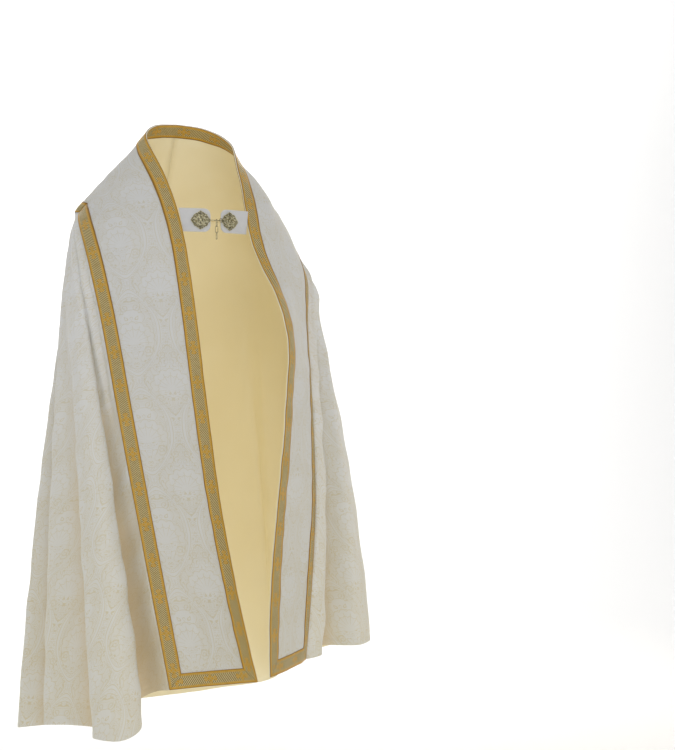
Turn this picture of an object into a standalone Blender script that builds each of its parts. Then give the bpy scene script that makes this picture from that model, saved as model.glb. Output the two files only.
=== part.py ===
"""A cope: a long open cloak of cream damask with a shield hood, gold galloons and a chained clasp.

Metres, +Z up. The wearer faces -Y, so +X is the wearer's left. The origin is the middle of the
neck opening, level with the sides of the neck, where the wearer carries the cope.
"""
import math

import bpy
import numpy as np

# ---------------------------------------------------------------- driving sizes
WALL = 0.0012             # thickness of each cloth wall
LAYER_GAP = 0.0003        # air between two layers
SEAM_EDGE = 0.0002        # every edge is drawn back this far, so seams stay 0.4 mm open
GALLOON_WIDTH = 0.034
GALLOON_THICK = 0.0010
HOOD_HALF_WIDTH = 0.229
HOOD_STRAIGHT = 0.300     # straight part of the hood's sides
HOOD_ROUND = 0.230        # depth of its round bottom
HOOD_STAND = 0.0070       # the hood stands this far off the back
FRINGE_BOTTOM = 0.045
FRINGE_SIDE = 0.027
FRINGE_THICK = 0.0050
FRINGE_STAND = 0.0080     # its inner face, off the back
KNEE_Z = -0.380           # the folds open below this height
EDGE_REACH = 0.16         # share of the hem next to each front that follows the front's own line
FOLD_EARLY = 0.65         # how much sooner the folds deepen than the cope widens
RIGHT_BOW = 0.26          # how far the sides round out between the shoulder and the hem
LEFT_BOW = 0.46
FRONT_BULGE = 0.009       # how far the band is rounded out on the fronts,
SHOULDER_BULGE = 0.034    # over the shoulders
YOKE_BULGE = 0.016        # and at the centre back
TURN_Z = -0.075           # height on the inner edge where the front becomes the neck
YOKE_Z = -0.172           # lower edge of the yoke at the centre back
CENTRE = 0.505            # where the back seam lies along the yoke's lower edge
TAB_HALF_HEIGHT = 0.0285
TAB_THICK = 0.0024
TAB_CORNER = 0.016
CLASP = (0.0068, -0.1530, -0.2095)
PLATE_LENGTH = 0.046
PLATE_HEIGHT = 0.043
PLATE_THICK = 0.0020
WIRE = 0.0008             # radius of the chain's wire
HOOK_WIRE = 0.0010
LINK_LENGTH = 0.019
LINK_WIDTH = 0.008
LINK_PLAY = 0.00035

# edges of the two fronts, each row a point from the neck down to the hem
INNER_RIGHT = (
    # x, y, z
    (0.000, 0.085, 0.058),
    (-0.070, 0.060, 0.046),
    (-0.118, 0.000, 0.008),
    (-0.108, -0.050, -0.055),
    (-0.092, -0.090, -0.120),
    (-0.081, -0.125, -0.195),
    (-0.073, -0.145, -0.260),
    (-0.057, -0.185, -0.460),
    (-0.045, -0.225, -0.680),
    (-0.030, -0.265, -0.895),
    (-0.012, -0.305, -1.065),
    (0.022, -0.360, -1.295),
)
INNER_LEFT = (
    (0.000, 0.085, 0.058),
    (0.070, 0.060, 0.046),
    (0.112, 0.000, 0.005),
    (0.107, -0.050, -0.060),
    (0.103, -0.090, -0.120),
    (0.098, -0.125, -0.185),
    (0.097, -0.147, -0.240),
    (0.111, -0.168, -0.300),
    (0.140, -0.215, -0.400),
    (0.150, -0.255, -0.510),
    (0.132, -0.285, -0.630),
    (0.092, -0.325, -0.875),
    (0.057, -0.358, -1.065),
    (0.026, -0.420, -1.275),
)
OUTER_RIGHT = (
    (-0.262, 0.074, -0.181),
    (-0.280, 0.034, -0.198),
    (-0.289, -0.004, -0.226),
    (-0.290, -0.036, -0.265),
    (-0.284, -0.070, -0.335),
    (-0.268, -0.105, -0.460),
    (-0.255, -0.185, -0.680),
    (-0.240, -0.262, -0.895),
    (-0.225, -0.325, -1.080),
    (-0.205, -0.388, -1.290),
)
OUTER_LEFT = (
    (0.280, 0.090, -0.200),
    (0.295, 0.058, -0.228),
    (0.304, 0.018, -0.268),
    (0.308, -0.034, -0.335),
    (0.294, -0.067, -0.460),
    (0.280, -0.124, -0.680),
    (0.258, -0.183, -0.895),
    (0.228, -0.225, -1.080),
    (0.186, -0.275, -1.267),
)
# level sections of the shoulders
SECTIONS = (
    # z, right half width, left half width, y right, y left, back, flat right, flat left, drop
    (-0.170, 0.265, 0.272, 0.065, 0.085, 0.180, 0.200, 0.200, 0.028),
    (-0.215, 0.286, 0.291, 0.050, 0.075, 0.188, 0.215, 0.218, 0.028),
    (-0.290, 0.300, 0.318, 0.030, 0.010, 0.196, 0.228, 0.236, 0.028),
    (-0.380, 0.314, 0.348, 0.020, -0.022, 0.205, 0.240, 0.252, 0.027),
)
# lines of the folds, right front round the back to left front
FOLDS = (
    # name, place along the shoulder section, hem x, hem y, hem z
    ("right front valley", 0.022, -0.220, -0.322, -1.306),
    ("right front valley end", 0.036, -0.244, -0.304, -1.324),
    ("great fold inner side", 0.054, -0.266, -0.388, -1.372),
    ("great fold crest", 0.072, -0.315, -0.408, -1.388),
    ("great fold outer side", 0.092, -0.360, -0.340, -1.392),
    ("valley behind great fold", 0.120, -0.300, -0.190, -1.400),
    ("middle fold front", 0.145, -0.345, -0.105, -1.405),
    ("middle fold crest", 0.168, -0.388, -0.040, -1.412),
    ("valley behind middle fold", 0.190, -0.330, 0.020, -1.425),
    ("back fold crest", 0.215, -0.412, 0.090, -1.440),
    ("valley before back panel", 0.250, -0.300, 0.185, -1.450),
    ("right corner of back", 0.300, -0.318, 0.288, -1.468),
    ("right half of back", 0.400, -0.180, 0.318, -1.452),
    ("back seam", CENTRE, 0.000, 0.306, -1.438),
    ("left half of back", 0.610, 0.200, 0.316, -1.434),
    ("left corner of back", 0.705, 0.362, 0.282, -1.412),
    ("valley beside back panel", 0.760, 0.320, 0.160, -1.345),
    ("arm fold back", 0.830, 0.440, 0.090, -1.300),
    ("arm fold side", 0.895, 0.482, -0.040, -1.268),
    ("arm fold front", 0.935, 0.390, -0.165, -1.262),
    ("valley behind left front", 0.960, 0.285, -0.105, -1.264),
    ("strip beside left front", 0.982, 0.250, -0.240, -1.266),
)
ROWS = (0.0, 0.05, 0.10, 0.155, 0.215, 0.285, 0.37, 0.48, 0.61, 0.78)
COLUMN_STEP = 0.080       # widest column of the body at the hem


# ---------------------------------------------------------------- curves
def spline(stations, rows, query):
    """Smooth curve through the rows, read at the query stations."""
    stations = np.asarray(stations, float)
    rows = np.asarray(rows, float)
    count = len(stations)
    step = np.diff(stations)
    slope = np.diff(rows, axis=0) / step[:, None]
    tangent = np.zeros_like(rows)
    for i in range(1, count - 1):
        share = step[i] / (step[i - 1] + step[i])
        tangent[i] = share * slope[i - 1] + (1.0 - share) * slope[i]
    tangent[0] = 1.5 * slope[0] - 0.5 * tangent[1]
    tangent[-1] = 1.5 * slope[-1] - 0.5 * tangent[-2]
    query = np.clip(np.atleast_1d(np.asarray(query, float)), stations[0], stations[-1])
    k = np.clip(np.searchsorted(stations, query, side="right") - 1, 0, count - 2)
    width = step[k]
    x = (query - stations[k]) / width
    x2 = x * x
    x3 = x2 * x
    a = (2.0 * x3 - 3.0 * x2 + 1.0)[:, None]
    b = ((x3 - 2.0 * x2 + x) * width)[:, None]
    c = (3.0 * x2 - 2.0 * x3)[:, None]
    d = ((x3 - x2) * width)[:, None]
    return a * rows[k] + b * tangent[k] + c * rows[k + 1] + d * tangent[k + 1]


def chord(rows, power=0.5):
    """Stations for a curve, spaced by the distance between its points."""
    gaps = np.linalg.norm(np.diff(np.asarray(rows, float), axis=0), axis=1) ** power
    return np.concatenate([[0.0], np.cumsum(gaps)])


def dense(rows, count=400, power=0.5):
    """Many points along the curve through the rows."""
    stations = chord(rows, power)
    return spline(stations, rows, np.linspace(0.0, stations[-1], count))


def lengths(curve):
    """Running length along a dense curve."""
    gaps = np.linalg.norm(np.diff(curve, axis=0), axis=1)
    return np.concatenate([[0.0], np.cumsum(gaps)])


def by_length(curve, distance):
    """Points at the given distances along a dense curve."""
    run = lengths(curve)
    return np.stack([np.interp(distance, run, curve[:, k]) for k in range(curve.shape[1])], axis=1)


def by_share(curve, share):
    """Points at the given shares of a dense curve's length."""
    return by_length(curve, np.asarray(share, float) * lengths(curve)[-1])


EDGE_R = dense(OUTER_RIGHT)
EDGE_L = dense(OUTER_LEFT)


def edge_at(curve, z):
    """x and y of a front's outer edge at height z."""
    return np.array([np.interp(-z, -curve[:, 2], curve[:, 0]), np.interp(-z, -curve[:, 2], curve[:, 1])])


# ---------------------------------------------------------------- form of the cope
def shoulder_section(z):
    """Level curve round the shoulders at height z, right front to left front."""
    heights = [-row[0] for row in SECTIONS]
    row = spline(heights, [r[1:] for r in SECTIONS], [-z])[0]
    right, left, y_right, y_left, back, flat_right, flat_left, drop = row
    start = edge_at(EDGE_R, z)
    end = edge_at(EDGE_L, z)
    points = [
        (start[0], start[1]),
        (-right, y_right),
        (-(right + flat_right) / 2.0 - 0.008, (y_right + back - drop) / 2.0 + 0.018),
        (-flat_right * 0.9, back - drop),
        (-flat_right * 0.45, back - drop * 0.18),
        (0.0, back),
        (flat_left * 0.45, back - drop * 0.18),
        (flat_left * 0.9, back - drop),
        ((left + flat_left) / 2.0 + 0.008, (y_left + back - drop) / 2.0 + 0.022),
        (left, y_left),
        (end[0], end[1]),
    ]
    for side in (1, -2):
        x, y = points[side]
        points[side] = (x, max(y, points[side - 1 if side == 1 else side + 1][1] + 0.018))
    curve = dense(points, 241, 0.6)
    middle = int(np.argmax(curve[:, 0] > 0.0))
    return curve[:middle + 1], curve[middle:]


def round_shoulders(halves, share):
    """x and y at a share of the way round; the back seam stays in the middle."""
    right, left = halves
    if share <= CENTRE:
        return by_share(right, [share / CENTRE])[0]
    return by_share(left, [(share - CENTRE) / (1.0 - CENTRE)])[0]


HEM = [OUTER_RIGHT[-1]] + [f[2:5] for f in FOLDS] + [OUTER_LEFT[-1]]
HEM_MIDDLE_Z = [f[4] for f in FOLDS if f[0] == "back seam"][0]
HEM_AT = chord(HEM, 0.75)
HEM_AT = HEM_AT / HEM_AT[-1]
UPPER_AT = [0.0] + [f[1] for f in FOLDS] + [1.0]
SEAM_U = HEM_AT[1 + [f[0] for f in FOLDS].index("back seam")]
KNEE = shoulder_section(KNEE_Z)


def yoke_edge_z(share):
    """Height of the yoke's lower edge, by share from the right shoulder to the left one."""
    share = np.asarray(share, float)
    away = np.clip(np.abs(share - CENTRE) / 0.5, 0.0, 1.0)
    side = np.where(share < CENTRE, OUTER_RIGHT[0][2], OUTER_LEFT[0][2])
    return YOKE_Z + (side - YOKE_Z) * away ** 2.6


def hem_run():
    """General run of the hem without its folds, for many places round it."""
    places = np.linspace(0.0, 1.0, 601)
    line = spline(HEM_AT, HEM, places)[:, :2]
    reach = 42
    wide = np.concatenate([np.repeat(line[:1], reach, axis=0), line, np.repeat(line[-1:], reach, axis=0)])
    total = np.concatenate([np.zeros((1, 2)), np.cumsum(wide, axis=0)])
    mean = (total[2 * reach + 1:] - total[:-2 * reach - 1]) / (2 * reach + 1)
    keep = np.clip(np.minimum(places, 1.0 - places) / 0.08, 0.0, 1.0)[:, None]
    return places, line + (mean - line) * keep


RUN_AT, RUN = hem_run()


def fold_growth(fall):
    """How much of a fold's depth stands at a share of the way down to the hem."""
    return fall * (1.0 + FOLD_EARLY * (1.0 - fall))


def body_point(u, v):
    """Point of the body: u runs round the hem, v runs from the yoke down to the hem."""
    share = float(np.clip(spline(HEM_AT, [[s] for s in UPPER_AT], u)[0, 0], 0.0, 1.0))
    hem = spline(HEM_AT, HEM, u)[0]
    top = float(yoke_edge_z(share))
    z = top + (hem[2] - top) * v
    if z >= KNEE_Z:
        x, y = round_shoulders(shoulder_section(z), share)
        return (x, y, z)
    fall = (KNEE_Z - z) / (KNEE_Z - hem[2])
    bow = RIGHT_BOW * math.exp(-((share - 0.16) / 0.13) ** 2) + LEFT_BOW * math.exp(-((share - 0.90) / 0.10) ** 2)
    fall = fall + bow * fall * (1.0 - fall)
    run = np.array([np.interp(u, RUN_AT, RUN[:, 0]), np.interp(u, RUN_AT, RUN[:, 1])])
    xy = round_shoulders(KNEE, share) * (1.0 - fall) + run * fall + (hem[:2] - run) * fold_growth(fall)
    for curve, rows, near in ((EDGE_R, OUTER_RIGHT, u), (EDGE_L, OUTER_LEFT, 1.0 - u)):
        weight = max(0.0, 1.0 - near / EDGE_REACH) ** 1.5
        run = (KNEE_Z - z) / (KNEE_Z - rows[-1][2])
        plain = edge_at(curve, KNEE_Z) * (1.0 - run) + np.array(rows[-1][:2]) * run
        if near < 1e-9:
            return (*edge_at(curve, z), z)
        xy = xy + (edge_at(curve, z) - plain) * weight
    return (xy[0], xy[1], z)


def front_rows():
    """Shares down the body for its rows; the last one leaves the width of a galloon."""
    drop = OUTER_RIGHT[0][2] - OUTER_RIGHT[-1][2]
    return list(ROWS) + [1.0 - GALLOON_WIDTH / drop, 1.0]


def body_columns():
    """Places of the body's columns: every fold line, and more where the hem runs far between two."""
    places = [0.0]
    for a, b in zip(HEM_AT[:-1], HEM_AT[1:]):
        run = lengths(spline(HEM_AT, HEM, np.linspace(a, b, 9)))[-1]
        parts = max(1, int(math.ceil(run / COLUMN_STEP)))
        for k in range(parts):
            places.append(a + (b - a) * (k + 1) / parts)
    half = GALLOON_WIDTH / 2.0
    slope = (spline(HEM_AT, [[s] for s in UPPER_AT], SEAM_U + 0.01)[0, 0]
             - spline(HEM_AT, [[s] for s in UPPER_AT], SEAM_U - 0.01)[0, 0]) / 0.02
    reach = half / (lengths(shoulder_section(YOKE_Z)[0])[-1] / CENTRE) / slope
    places = [p for p in places if abs(p - SEAM_U) < 1e-9 or abs(p - SEAM_U) > reach * 1.7]
    places += [SEAM_U - reach, SEAM_U + reach]
    return sorted(places)


COLUMNS = body_columns()
ROW_V = front_rows()
SEAM_COL = min(range(len(COLUMNS)), key=lambda i: abs(COLUMNS[i] - SEAM_U))
MIDDLE = len(ROW_V) - 1 + SEAM_COL     # the band's line at the centre back


class Cloth:
    """Points and triangles of a reference surface that the walls are built on."""

    def __init__(self):
        self.points = []
        self.groups = {}

    def add(self, point):
        self.points.append(tuple(float(c) for c in point))
        return len(self.points) - 1

    def quad(self, group, a, b, c, d, flip=False):
        tris = self.groups.setdefault(group, [])
        if flip:
            pair = [(a, b, d), (b, c, d)]
        else:
            pair = [(a, b, c), (a, c, d)]
        for tri in pair:
            if len(set(tri)) == 3:
                tris.append(tri)

    def triangle(self, group, a, b, c, order):
        """Add one triangle, turned the same way round as the four corners in order."""
        turn = [i for i in order if i in (a, b, c)]
        self.groups.setdefault(group, []).append(tuple(turn))

    def normals(self):
        points = np.array(self.points)
        total = np.zeros_like(points)
        for tris in self.groups.values():
            for a, b, c in tris:
                n = np.cross(points[b] - points[a], points[c] - points[a])
                for k in (a, b, c):
                    total[k] += n
        size = np.linalg.norm(total, axis=1)
        size[size == 0.0] = 1.0
        return total / size[:, None]


def band_lines(body):
    """Cross lines of the band on the fronts and yoke: pairs of inner point and outer point index."""
    lines = []
    rows = len(ROW_V)
    cols = len(COLUMNS)
    for inner, column in ((INNER_RIGHT, 0), (INNER_LEFT, cols - 1)):
        up = dense(inner)[::-1]
        outer = np.array([COPE.points[body[j][column]] for j in range(rows)])[::-1]
        turn = int(np.argmax(up[:, 2] > TURN_Z))
        front = up[:turn + 1]
        neck = up[turn:]
        run = lengths(outer)
        front_points = by_share(front, run / run[-1])
        bottom_step = by_length(front, [GALLOON_WIDTH])[0]
        front_points[1] = bottom_step
        if column == 0:
            across = [body[0][i] for i in range(0, SEAM_COL + 1)]
        else:
            across = [body[0][i] for i in range(cols - 1, SEAM_COL - 1, -1)]
        outer_back = np.array([COPE.points[i] for i in across])
        away = lengths(outer_back[::-1])
        half = GALLOON_WIDTH / 2.0
        neck_run = lengths(neck)[-1]
        far = half + (away - away[1]) / (away[-1] - away[1]) * (neck_run - half)
        far = np.where(away < away[1] - 1e-9, 0.0, far)
        neck_points = by_length(neck, neck_run - far[::-1])
        side = [(front_points[k], body[rows - 1 - k][column]) for k in range(rows)]
        side += [(neck_points[k], across[k]) for k in range(1, len(across))]
        lines.append(side)
    right, left = lines
    return right + left[::-1][1:]


COPE = Cloth()


def build_reference():
    """Fill the reference surface and return its index grids."""
    body = []
    for v in ROW_V:
        body.append([COPE.add(body_point(u, v)) for u in COLUMNS])
    lines = band_lines(body)
    band = []
    count = len(lines)
    shoulder = len(ROW_V) - 1
    for k, (inner, outer_index) in enumerate(lines):
        a = np.array(inner)
        b = np.array(COPE.points[outer_index])
        before = np.array(lines[max(0, k - 1)][0])
        after = np.array(lines[min(count - 1, k + 1)][0])
        before_o = np.array(COPE.points[lines[max(0, k - 1)][1]])
        after_o = np.array(COPE.points[lines[min(count - 1, k + 1)][1]])
        along = (after - before) + (after_o - before_o)
        out = np.cross(along, b - a)
        out = out / np.linalg.norm(out)
        side = min(k, count - 1 - k)
        if side <= shoulder:
            bulge = FRONT_BULGE + (SHOULDER_BULGE - FRONT_BULGE) * max(0.0, 1.0 - (shoulder - side) / 6.0)
        else:
            half = SEAM_COL if k < MIDDLE else len(COLUMNS) - 1 - SEAM_COL
            back = min(1.0, (side - shoulder) / half)
            bulge = SHOULDER_BULGE + (YOKE_BULGE - SHOULDER_BULGE) * back ** 0.7
        size = np.linalg.norm(b - a)
        edge = GALLOON_WIDTH / size
        row = []
        for t in (0.0, edge, 0.5, 1.0 - edge):
            row.append(COPE.add(a + (b - a) * t + out * bulge * 4.0 * t * (1.0 - t)))
        row.append(outer_index)
        band.append(row)
    return body, band


def fill_groups(body, band):
    """Name every patch of the reference surface."""
    cols = len(COLUMNS)
    for j in range(len(ROW_V) - 1):
        for i in range(cols - 1):
            group = "body_right" if i < SEAM_COL else "body_left"
            COPE.quad(group, body[j][i], body[j][i + 1], body[j + 1][i + 1], body[j + 1][i])
    last = len(band) - 2
    shoulder = len(ROW_V) - 1
    for k in range(len(band) - 1):
        side = "right" if k < MIDDLE else "left"
        for m in range(4):
            corners = (band[k][m], band[k + 1][m], band[k + 1][m + 1], band[k][m + 1])
            name = "%s_%s" % (("inner", "middle", "middle", "outer")[m], side)
            if k in (0, last) and m in (0, 3):
                # the mitre runs from the hem's outer corner to the inner corner of the square
                hem_row = 0 if k == 0 else 1
                edge_row = 0 if m == 0 else 1
                square = {(r, e): band[k + r][m + e] for r in (0, 1) for e in (0, 1)}
                tip = square[(hem_row, edge_row)]
                root = square[(1 - hem_row, 1 - edge_row)]
                COPE.triangle(name + "_mitre", tip, root, square[(1 - hem_row, edge_row)], corners)
                COPE.triangle("hem_%s_mitre" % side, tip, root, square[(hem_row, 1 - edge_row)], corners)
            elif k in (0, last):
                COPE.quad("hem_" + side, *corners)
            elif m in (1, 2) and k in (MIDDLE - 1, MIDDLE):
                COPE.quad("centre_" + side, *corners)
            elif m == 0 and min(k, last - k) >= shoulder - 4:
                COPE.quad("collar_" + side, *corners)
            else:
                COPE.quad(name, *corners)


# ---------------------------------------------------------------- solids
def wall(name, points, normals, tris, low, high, material, edge=SEAM_EDGE):
    """Closed wall between two offsets of the triangles, its free edges drawn back."""
    points = np.asarray(points, float)
    used = sorted({i for tri in tris for i in tri})
    where = {old: new for new, old in enumerate(used)}
    p = points[used].copy()
    n = np.asarray(normals)[used]
    tris = [tuple(where[i] for i in tri) for tri in tris]
    seen = {}
    for tri in tris:
        for a, b in ((tri[0], tri[1]), (tri[1], tri[2]), (tri[2], tri[0])):
            seen[(a, b)] = seen.get((a, b), 0) + 1
    border = [e for e in seen if (e[1], e[0]) not in seen]
    inward = {}
    for a, b in border:
        d = p[b] - p[a]
        for v in (a, b):
            side = np.cross(n[v], d)
            inward.setdefault(v, []).append(side / np.linalg.norm(side))
    for v, sides in inward.items():
        total = np.sum(sides, axis=0)
        if len(sides) == 2:
            total = total / max(0.35, 1.0 + float(np.dot(sides[0], sides[1])))
        p[v] += total * edge
    count = len(used)
    verts = np.vstack([p + n * high, p + n * low])
    faces = [tri for tri in tris]
    faces += [(tri[0] + count, tri[2] + count, tri[1] + count) for tri in tris]
    smooth = len(faces)
    for a, b in border:
        faces.append((b, a, a + count))
        faces.append((b, a + count, b + count))
    mesh = bpy.data.meshes.new(name)
    mesh.from_pydata([tuple(v) for v in verts], [], faces)
    for k, poly in enumerate(mesh.polygons):
        poly.use_smooth = k < smooth
    mesh.materials.append(material)
    mesh.update()
    obj = bpy.data.objects.new(name, mesh)
    PART.objects.link(obj)
    return obj


def cloth_material(name, colour, roughness, metallic=0.0):
    """Plain Principled material of one cloth or metal."""
    mat = bpy.data.materials.new(name)
    mat.use_nodes = True
    shader = mat.node_tree.nodes["Principled BSDF"]
    shader.inputs["Base Color"].default_value = (*colour, 1.0)
    shader.inputs["Roughness"].default_value = roughness
    shader.inputs["Metallic"].default_value = metallic
    mat.diffuse_color = (*colour, 1.0)
    return mat


def group_tris(*names):
    """Triangles of several patches of the cope."""
    out = []
    for name in names:
        out += COPE.groups.get(name, [])
    return out


# ---------------------------------------------------------------- hood
def hood_outline(inset, fan=16, straight=5):
    """U line of the hood at a distance in from its edge: across and down from the yoke."""
    half = HOOD_HALF_WIDTH - inset
    deep = HOOD_ROUND - inset * HOOD_ROUND / HOOD_HALF_WIDTH
    out = []
    for k in range(straight):
        out.append((-half, HOOD_STRAIGHT * k / straight))
    for k in range(fan + 1):
        turn = math.pi * k / fan
        out.append((-half * math.cos(turn), HOOD_STRAIGHT + deep * math.sin(turn)))
    for k in range(straight - 1, -1, -1):
        out.append((half, HOOD_STRAIGHT * k / straight))
    return out


BACK_V = [0.0, 0.03, 0.06, 0.10, 0.15, 0.20, 0.26, 0.32, 0.38, 0.45, 0.52, 0.60]
BACK_U = np.linspace(SEAM_U - 0.32, SEAM_U + 0.32, 65)
BACK = [np.array([body_point(u, v) for u in BACK_U]) for v in BACK_V]


def on_back(across, down):
    """Point of the back at a distance across from the seam and down from the yoke."""
    row_down = [v * (YOKE_Z - HEM_MIDDLE_Z) for v in BACK_V]
    points = []
    for row in BACK:
        run = lengths(row)
        run = run - run[len(BACK_U) // 2]
        points.append([np.interp(across, run, row[:, k]) for k in range(3)])
    return spline(row_down, points, [down])[0]


def build_hood():
    """Hood, its galloon and its fringe."""
    surface = Cloth()
    rings = []
    seen = {}
    stand = [0.0, GALLOON_WIDTH, 0.085, 0.150, HOOD_HALF_WIDTH]
    for inset in stand:
        ring = []
        for across, down in hood_outline(inset):
            key = (round(across, 5), round(down, 5))
            if key not in seen:
                seen[key] = surface.add(on_back(-across, down + 0.0006))
            ring.append(seen[key])
        rings.append(ring)
    for r in range(len(rings) - 1):
        group = "edge" if r == 0 else "field"
        for k in range(len(rings[0]) - 1):
            surface.quad(group, rings[r][k], rings[r][k + 1], rings[r + 1][k + 1], rings[r + 1][k])
    fringe = Cloth()
    lines = []
    for reach in (0.0, 0.5, 1.0):
        line = []
        outline = hood_outline(0.0)
        for k, (across, down) in enumerate(outline):
            low = math.sin(math.pi * k / (len(outline) - 1))
            low = max(0.0, min(1.0, (low - 0.45) / 0.5))
            size = FRINGE_SIDE + (FRINGE_BOTTOM - FRINGE_SIDE) * low
            ahead = outline[min(k + 1, len(outline) - 1)]
            behind = outline[max(k - 1, 0)]
            dx = ahead[0] - behind[0]
            dy = ahead[1] - behind[1]
            norm = math.hypot(dx, dy)
            ox = -dy / norm
            oy = dx / norm
            x = across + ox * size * reach
            y = max(0.012, down + oy * size * reach + 0.010 * reach * (1.0 - low))
            line.append(fringe.add(on_back(-x, y + 0.0006)))
        lines.append(line)
    for r in range(2):
        for k in range(len(lines[0]) - 1):
            fringe.quad("fringe", lines[r][k], lines[r + 1][k], lines[r + 1][k + 1], lines[r][k + 1])
    return surface, fringe


# ---------------------------------------------------------------- run
for old in list(bpy.data.objects):
    bpy.data.objects.remove(old, do_unlink=True)

PART = bpy.data.collections.new("cope")
bpy.context.scene.collection.children.link(PART)

DAMASK = cloth_material("damask", (0.80, 0.77, 0.69), 0.75)
LINING = cloth_material("lining", (0.80, 0.68, 0.42), 0.45)
GALLOON = cloth_material("galloon", (0.55, 0.40, 0.12), 0.45)
FRINGE = cloth_material("fringe", (0.35, 0.24, 0.09), 0.55)
PLAIN = cloth_material("plain_cloth", (0.82, 0.82, 0.80), 0.80)
BRASS = cloth_material("brass", (0.50, 0.43, 0.25), 0.38, 1.0)

body_grid, band_grid = build_reference()
fill_groups(body_grid, band_grid)
NORMALS = COPE.normals()

OVER = WALL + LAYER_GAP
UNDER = -LAYER_GAP - WALL
BAND_PATCHES = ("inner", "outer", "middle", "hem", "centre", "collar")


def cope_wall(name, tris, low, high, material):
    """Wall built on the cope's own points."""
    return wall(name, COPE.points, NORMALS, tris, low, high, material)


for side in ("right", "left"):
    cope_wall("body_" + side, group_tris("body_" + side), 0.0, WALL, DAMASK)
    patches = ["%s_%s" % (p, side) for p in BAND_PATCHES]
    patches += ["inner_%s_mitre" % side, "outer_%s_mitre" % side, "hem_%s_mitre" % side]
    cope_wall("orphrey_" + side, group_tris(*patches), 0.0, WALL, DAMASK)
    cope_wall("facing_" + side, group_tris(*patches), UNDER, -LAYER_GAP, LINING)
cope_wall("lining", group_tris("body_right", "body_left"), UNDER, -LAYER_GAP, LINING)

galloons = {
    "inner": group_tris("inner_right", "inner_left", "collar_right", "collar_left",
                        "inner_right_mitre", "inner_left_mitre"),
    "outer": group_tris("outer_right", "outer_left", "outer_right_mitre", "outer_left_mitre"),
    "hem_right": group_tris("hem_right", "hem_right_mitre"),
    "hem_left": group_tris("hem_left", "hem_left_mitre"),
}
top = OVER + GALLOON_THICK
cope_wall("galloon_inner", galloons["inner"], OVER, top, GALLOON)
cope_wall("galloon_outer", galloons["outer"], OVER, top, GALLOON)
cope_wall("galloon_hem_right", galloons["hem_right"], OVER, top, GALLOON)
cope_wall("galloon_hem_left", galloons["hem_left"], OVER, top, GALLOON)
cope_wall("galloon_centre_back", group_tris("centre_right", "centre_left"), OVER, top, GALLOON)
inside = UNDER - LAYER_GAP
cope_wall("galloon_inside_neck", group_tris("collar_right", "collar_left"),
          inside - GALLOON_THICK, inside, GALLOON)

hood, hood_fringe = build_hood()
hood_normals = hood.normals()
wall("hood", hood.points, hood_normals, hood.groups["edge"] + hood.groups["field"],
     HOOD_STAND, HOOD_STAND + WALL, DAMASK)
wall("hood_galloon", hood.points, hood_normals, hood.groups["edge"],
     HOOD_STAND + OVER, HOOD_STAND + top, GALLOON)
wall("hood_fringe", hood_fringe.points, hood_fringe.normals(), hood_fringe.groups["fringe"],
     FRINGE_STAND, FRINGE_STAND + FRINGE_THICK, FRINGE)


# ---------------------------------------------------------------- clasp
def frame_of(origin, along, up):
    """Origin and three axes: along the tab, up it, and out of its face."""
    along = along / np.linalg.norm(along)
    up = up - along * np.dot(up, along)
    up = up / np.linalg.norm(up)
    face = np.cross(along, up)
    if face[1] > 0.0:
        face = -face
    return np.asarray(origin, float), along, up, face


def place(frame, x, y, out):
    """World point from a place on the tab's face."""
    origin, along, up, face = frame
    return tuple(origin + along * x + up * y + face * out)


def stack(name, frame, layers, material):
    """Closed body through outlines stacked outward from the face."""
    count = len(layers[0][1])
    verts = []
    for out, outline in layers:
        verts += [place(frame, x, y, out) for x, y in outline]
    faces = []
    for k in range(len(layers) - 1):
        for i in range(count):
            j = (i + 1) % count
            faces.append((k * count + i, k * count + j, (k + 1) * count + j, (k + 1) * count + i))
    faces.append(tuple(range(count))[::-1])
    faces.append(tuple(range((len(layers) - 1) * count, len(layers) * count)))
    origin, along, up, face = frame
    if np.dot(np.cross(along, up), face) < 0.0:
        faces = [f[::-1] for f in faces]
    mesh = bpy.data.meshes.new(name)
    mesh.from_pydata(verts, [], faces)
    mesh.materials.append(material)
    mesh.update()
    obj = bpy.data.objects.new(name, mesh)
    PART.objects.link(obj)
    return obj


def tab_outline(length, low_start, high_start):
    """Tab seen on its face: slanted at the front's edge, round at the free end."""
    out = [(low_start, -TAB_HALF_HEIGHT)]
    for centre_y, first in ((-TAB_HALF_HEIGHT + TAB_CORNER, -90.0), (TAB_HALF_HEIGHT - TAB_CORNER, 0.0)):
        for k in range(5):
            turn = math.radians(first + 22.5 * k)
            out.append((length - TAB_CORNER + TAB_CORNER * math.cos(turn), centre_y + TAB_CORNER * math.sin(turn)))
    out.append((high_start, TAB_HALF_HEIGHT))
    return out


def leaf_outline(scale, centre):
    """Scalloped leaf of the plate, pointed along the tab."""
    out = []
    for k in range(32):
        turn = 2.0 * math.pi * k / 32
        c = math.cos(turn)
        s = math.sin(turn)
        size = (abs(c) ** 1.45 + abs(s) ** 1.45) ** (-1.0 / 1.45)
        size *= 1.0 + 0.035 * math.cos(8.0 * turn)
        out.append((centre + c * size * PLATE_LENGTH / 2.0 * scale, s * size * PLATE_HEIGHT / 2.0 * scale))
    return out


def wire(name, points, radius, material, closed=False):
    """Round wire through the points."""
    curve = bpy.data.curves.new(name, "CURVE")
    curve.dimensions = "3D"
    curve.bevel_depth = radius
    curve.bevel_resolution = 2
    curve.use_fill_caps = not closed
    line = curve.splines.new("POLY")
    line.points.add(len(points) - 1)
    for k, p in enumerate(points):
        line.points[k].co = (p[0], p[1], p[2], 1.0)
    line.use_cyclic_u = closed
    line.use_smooth = True
    curve.materials.append(material)
    obj = bpy.data.objects.new(name, curve)
    PART.objects.link(obj)
    return obj


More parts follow.
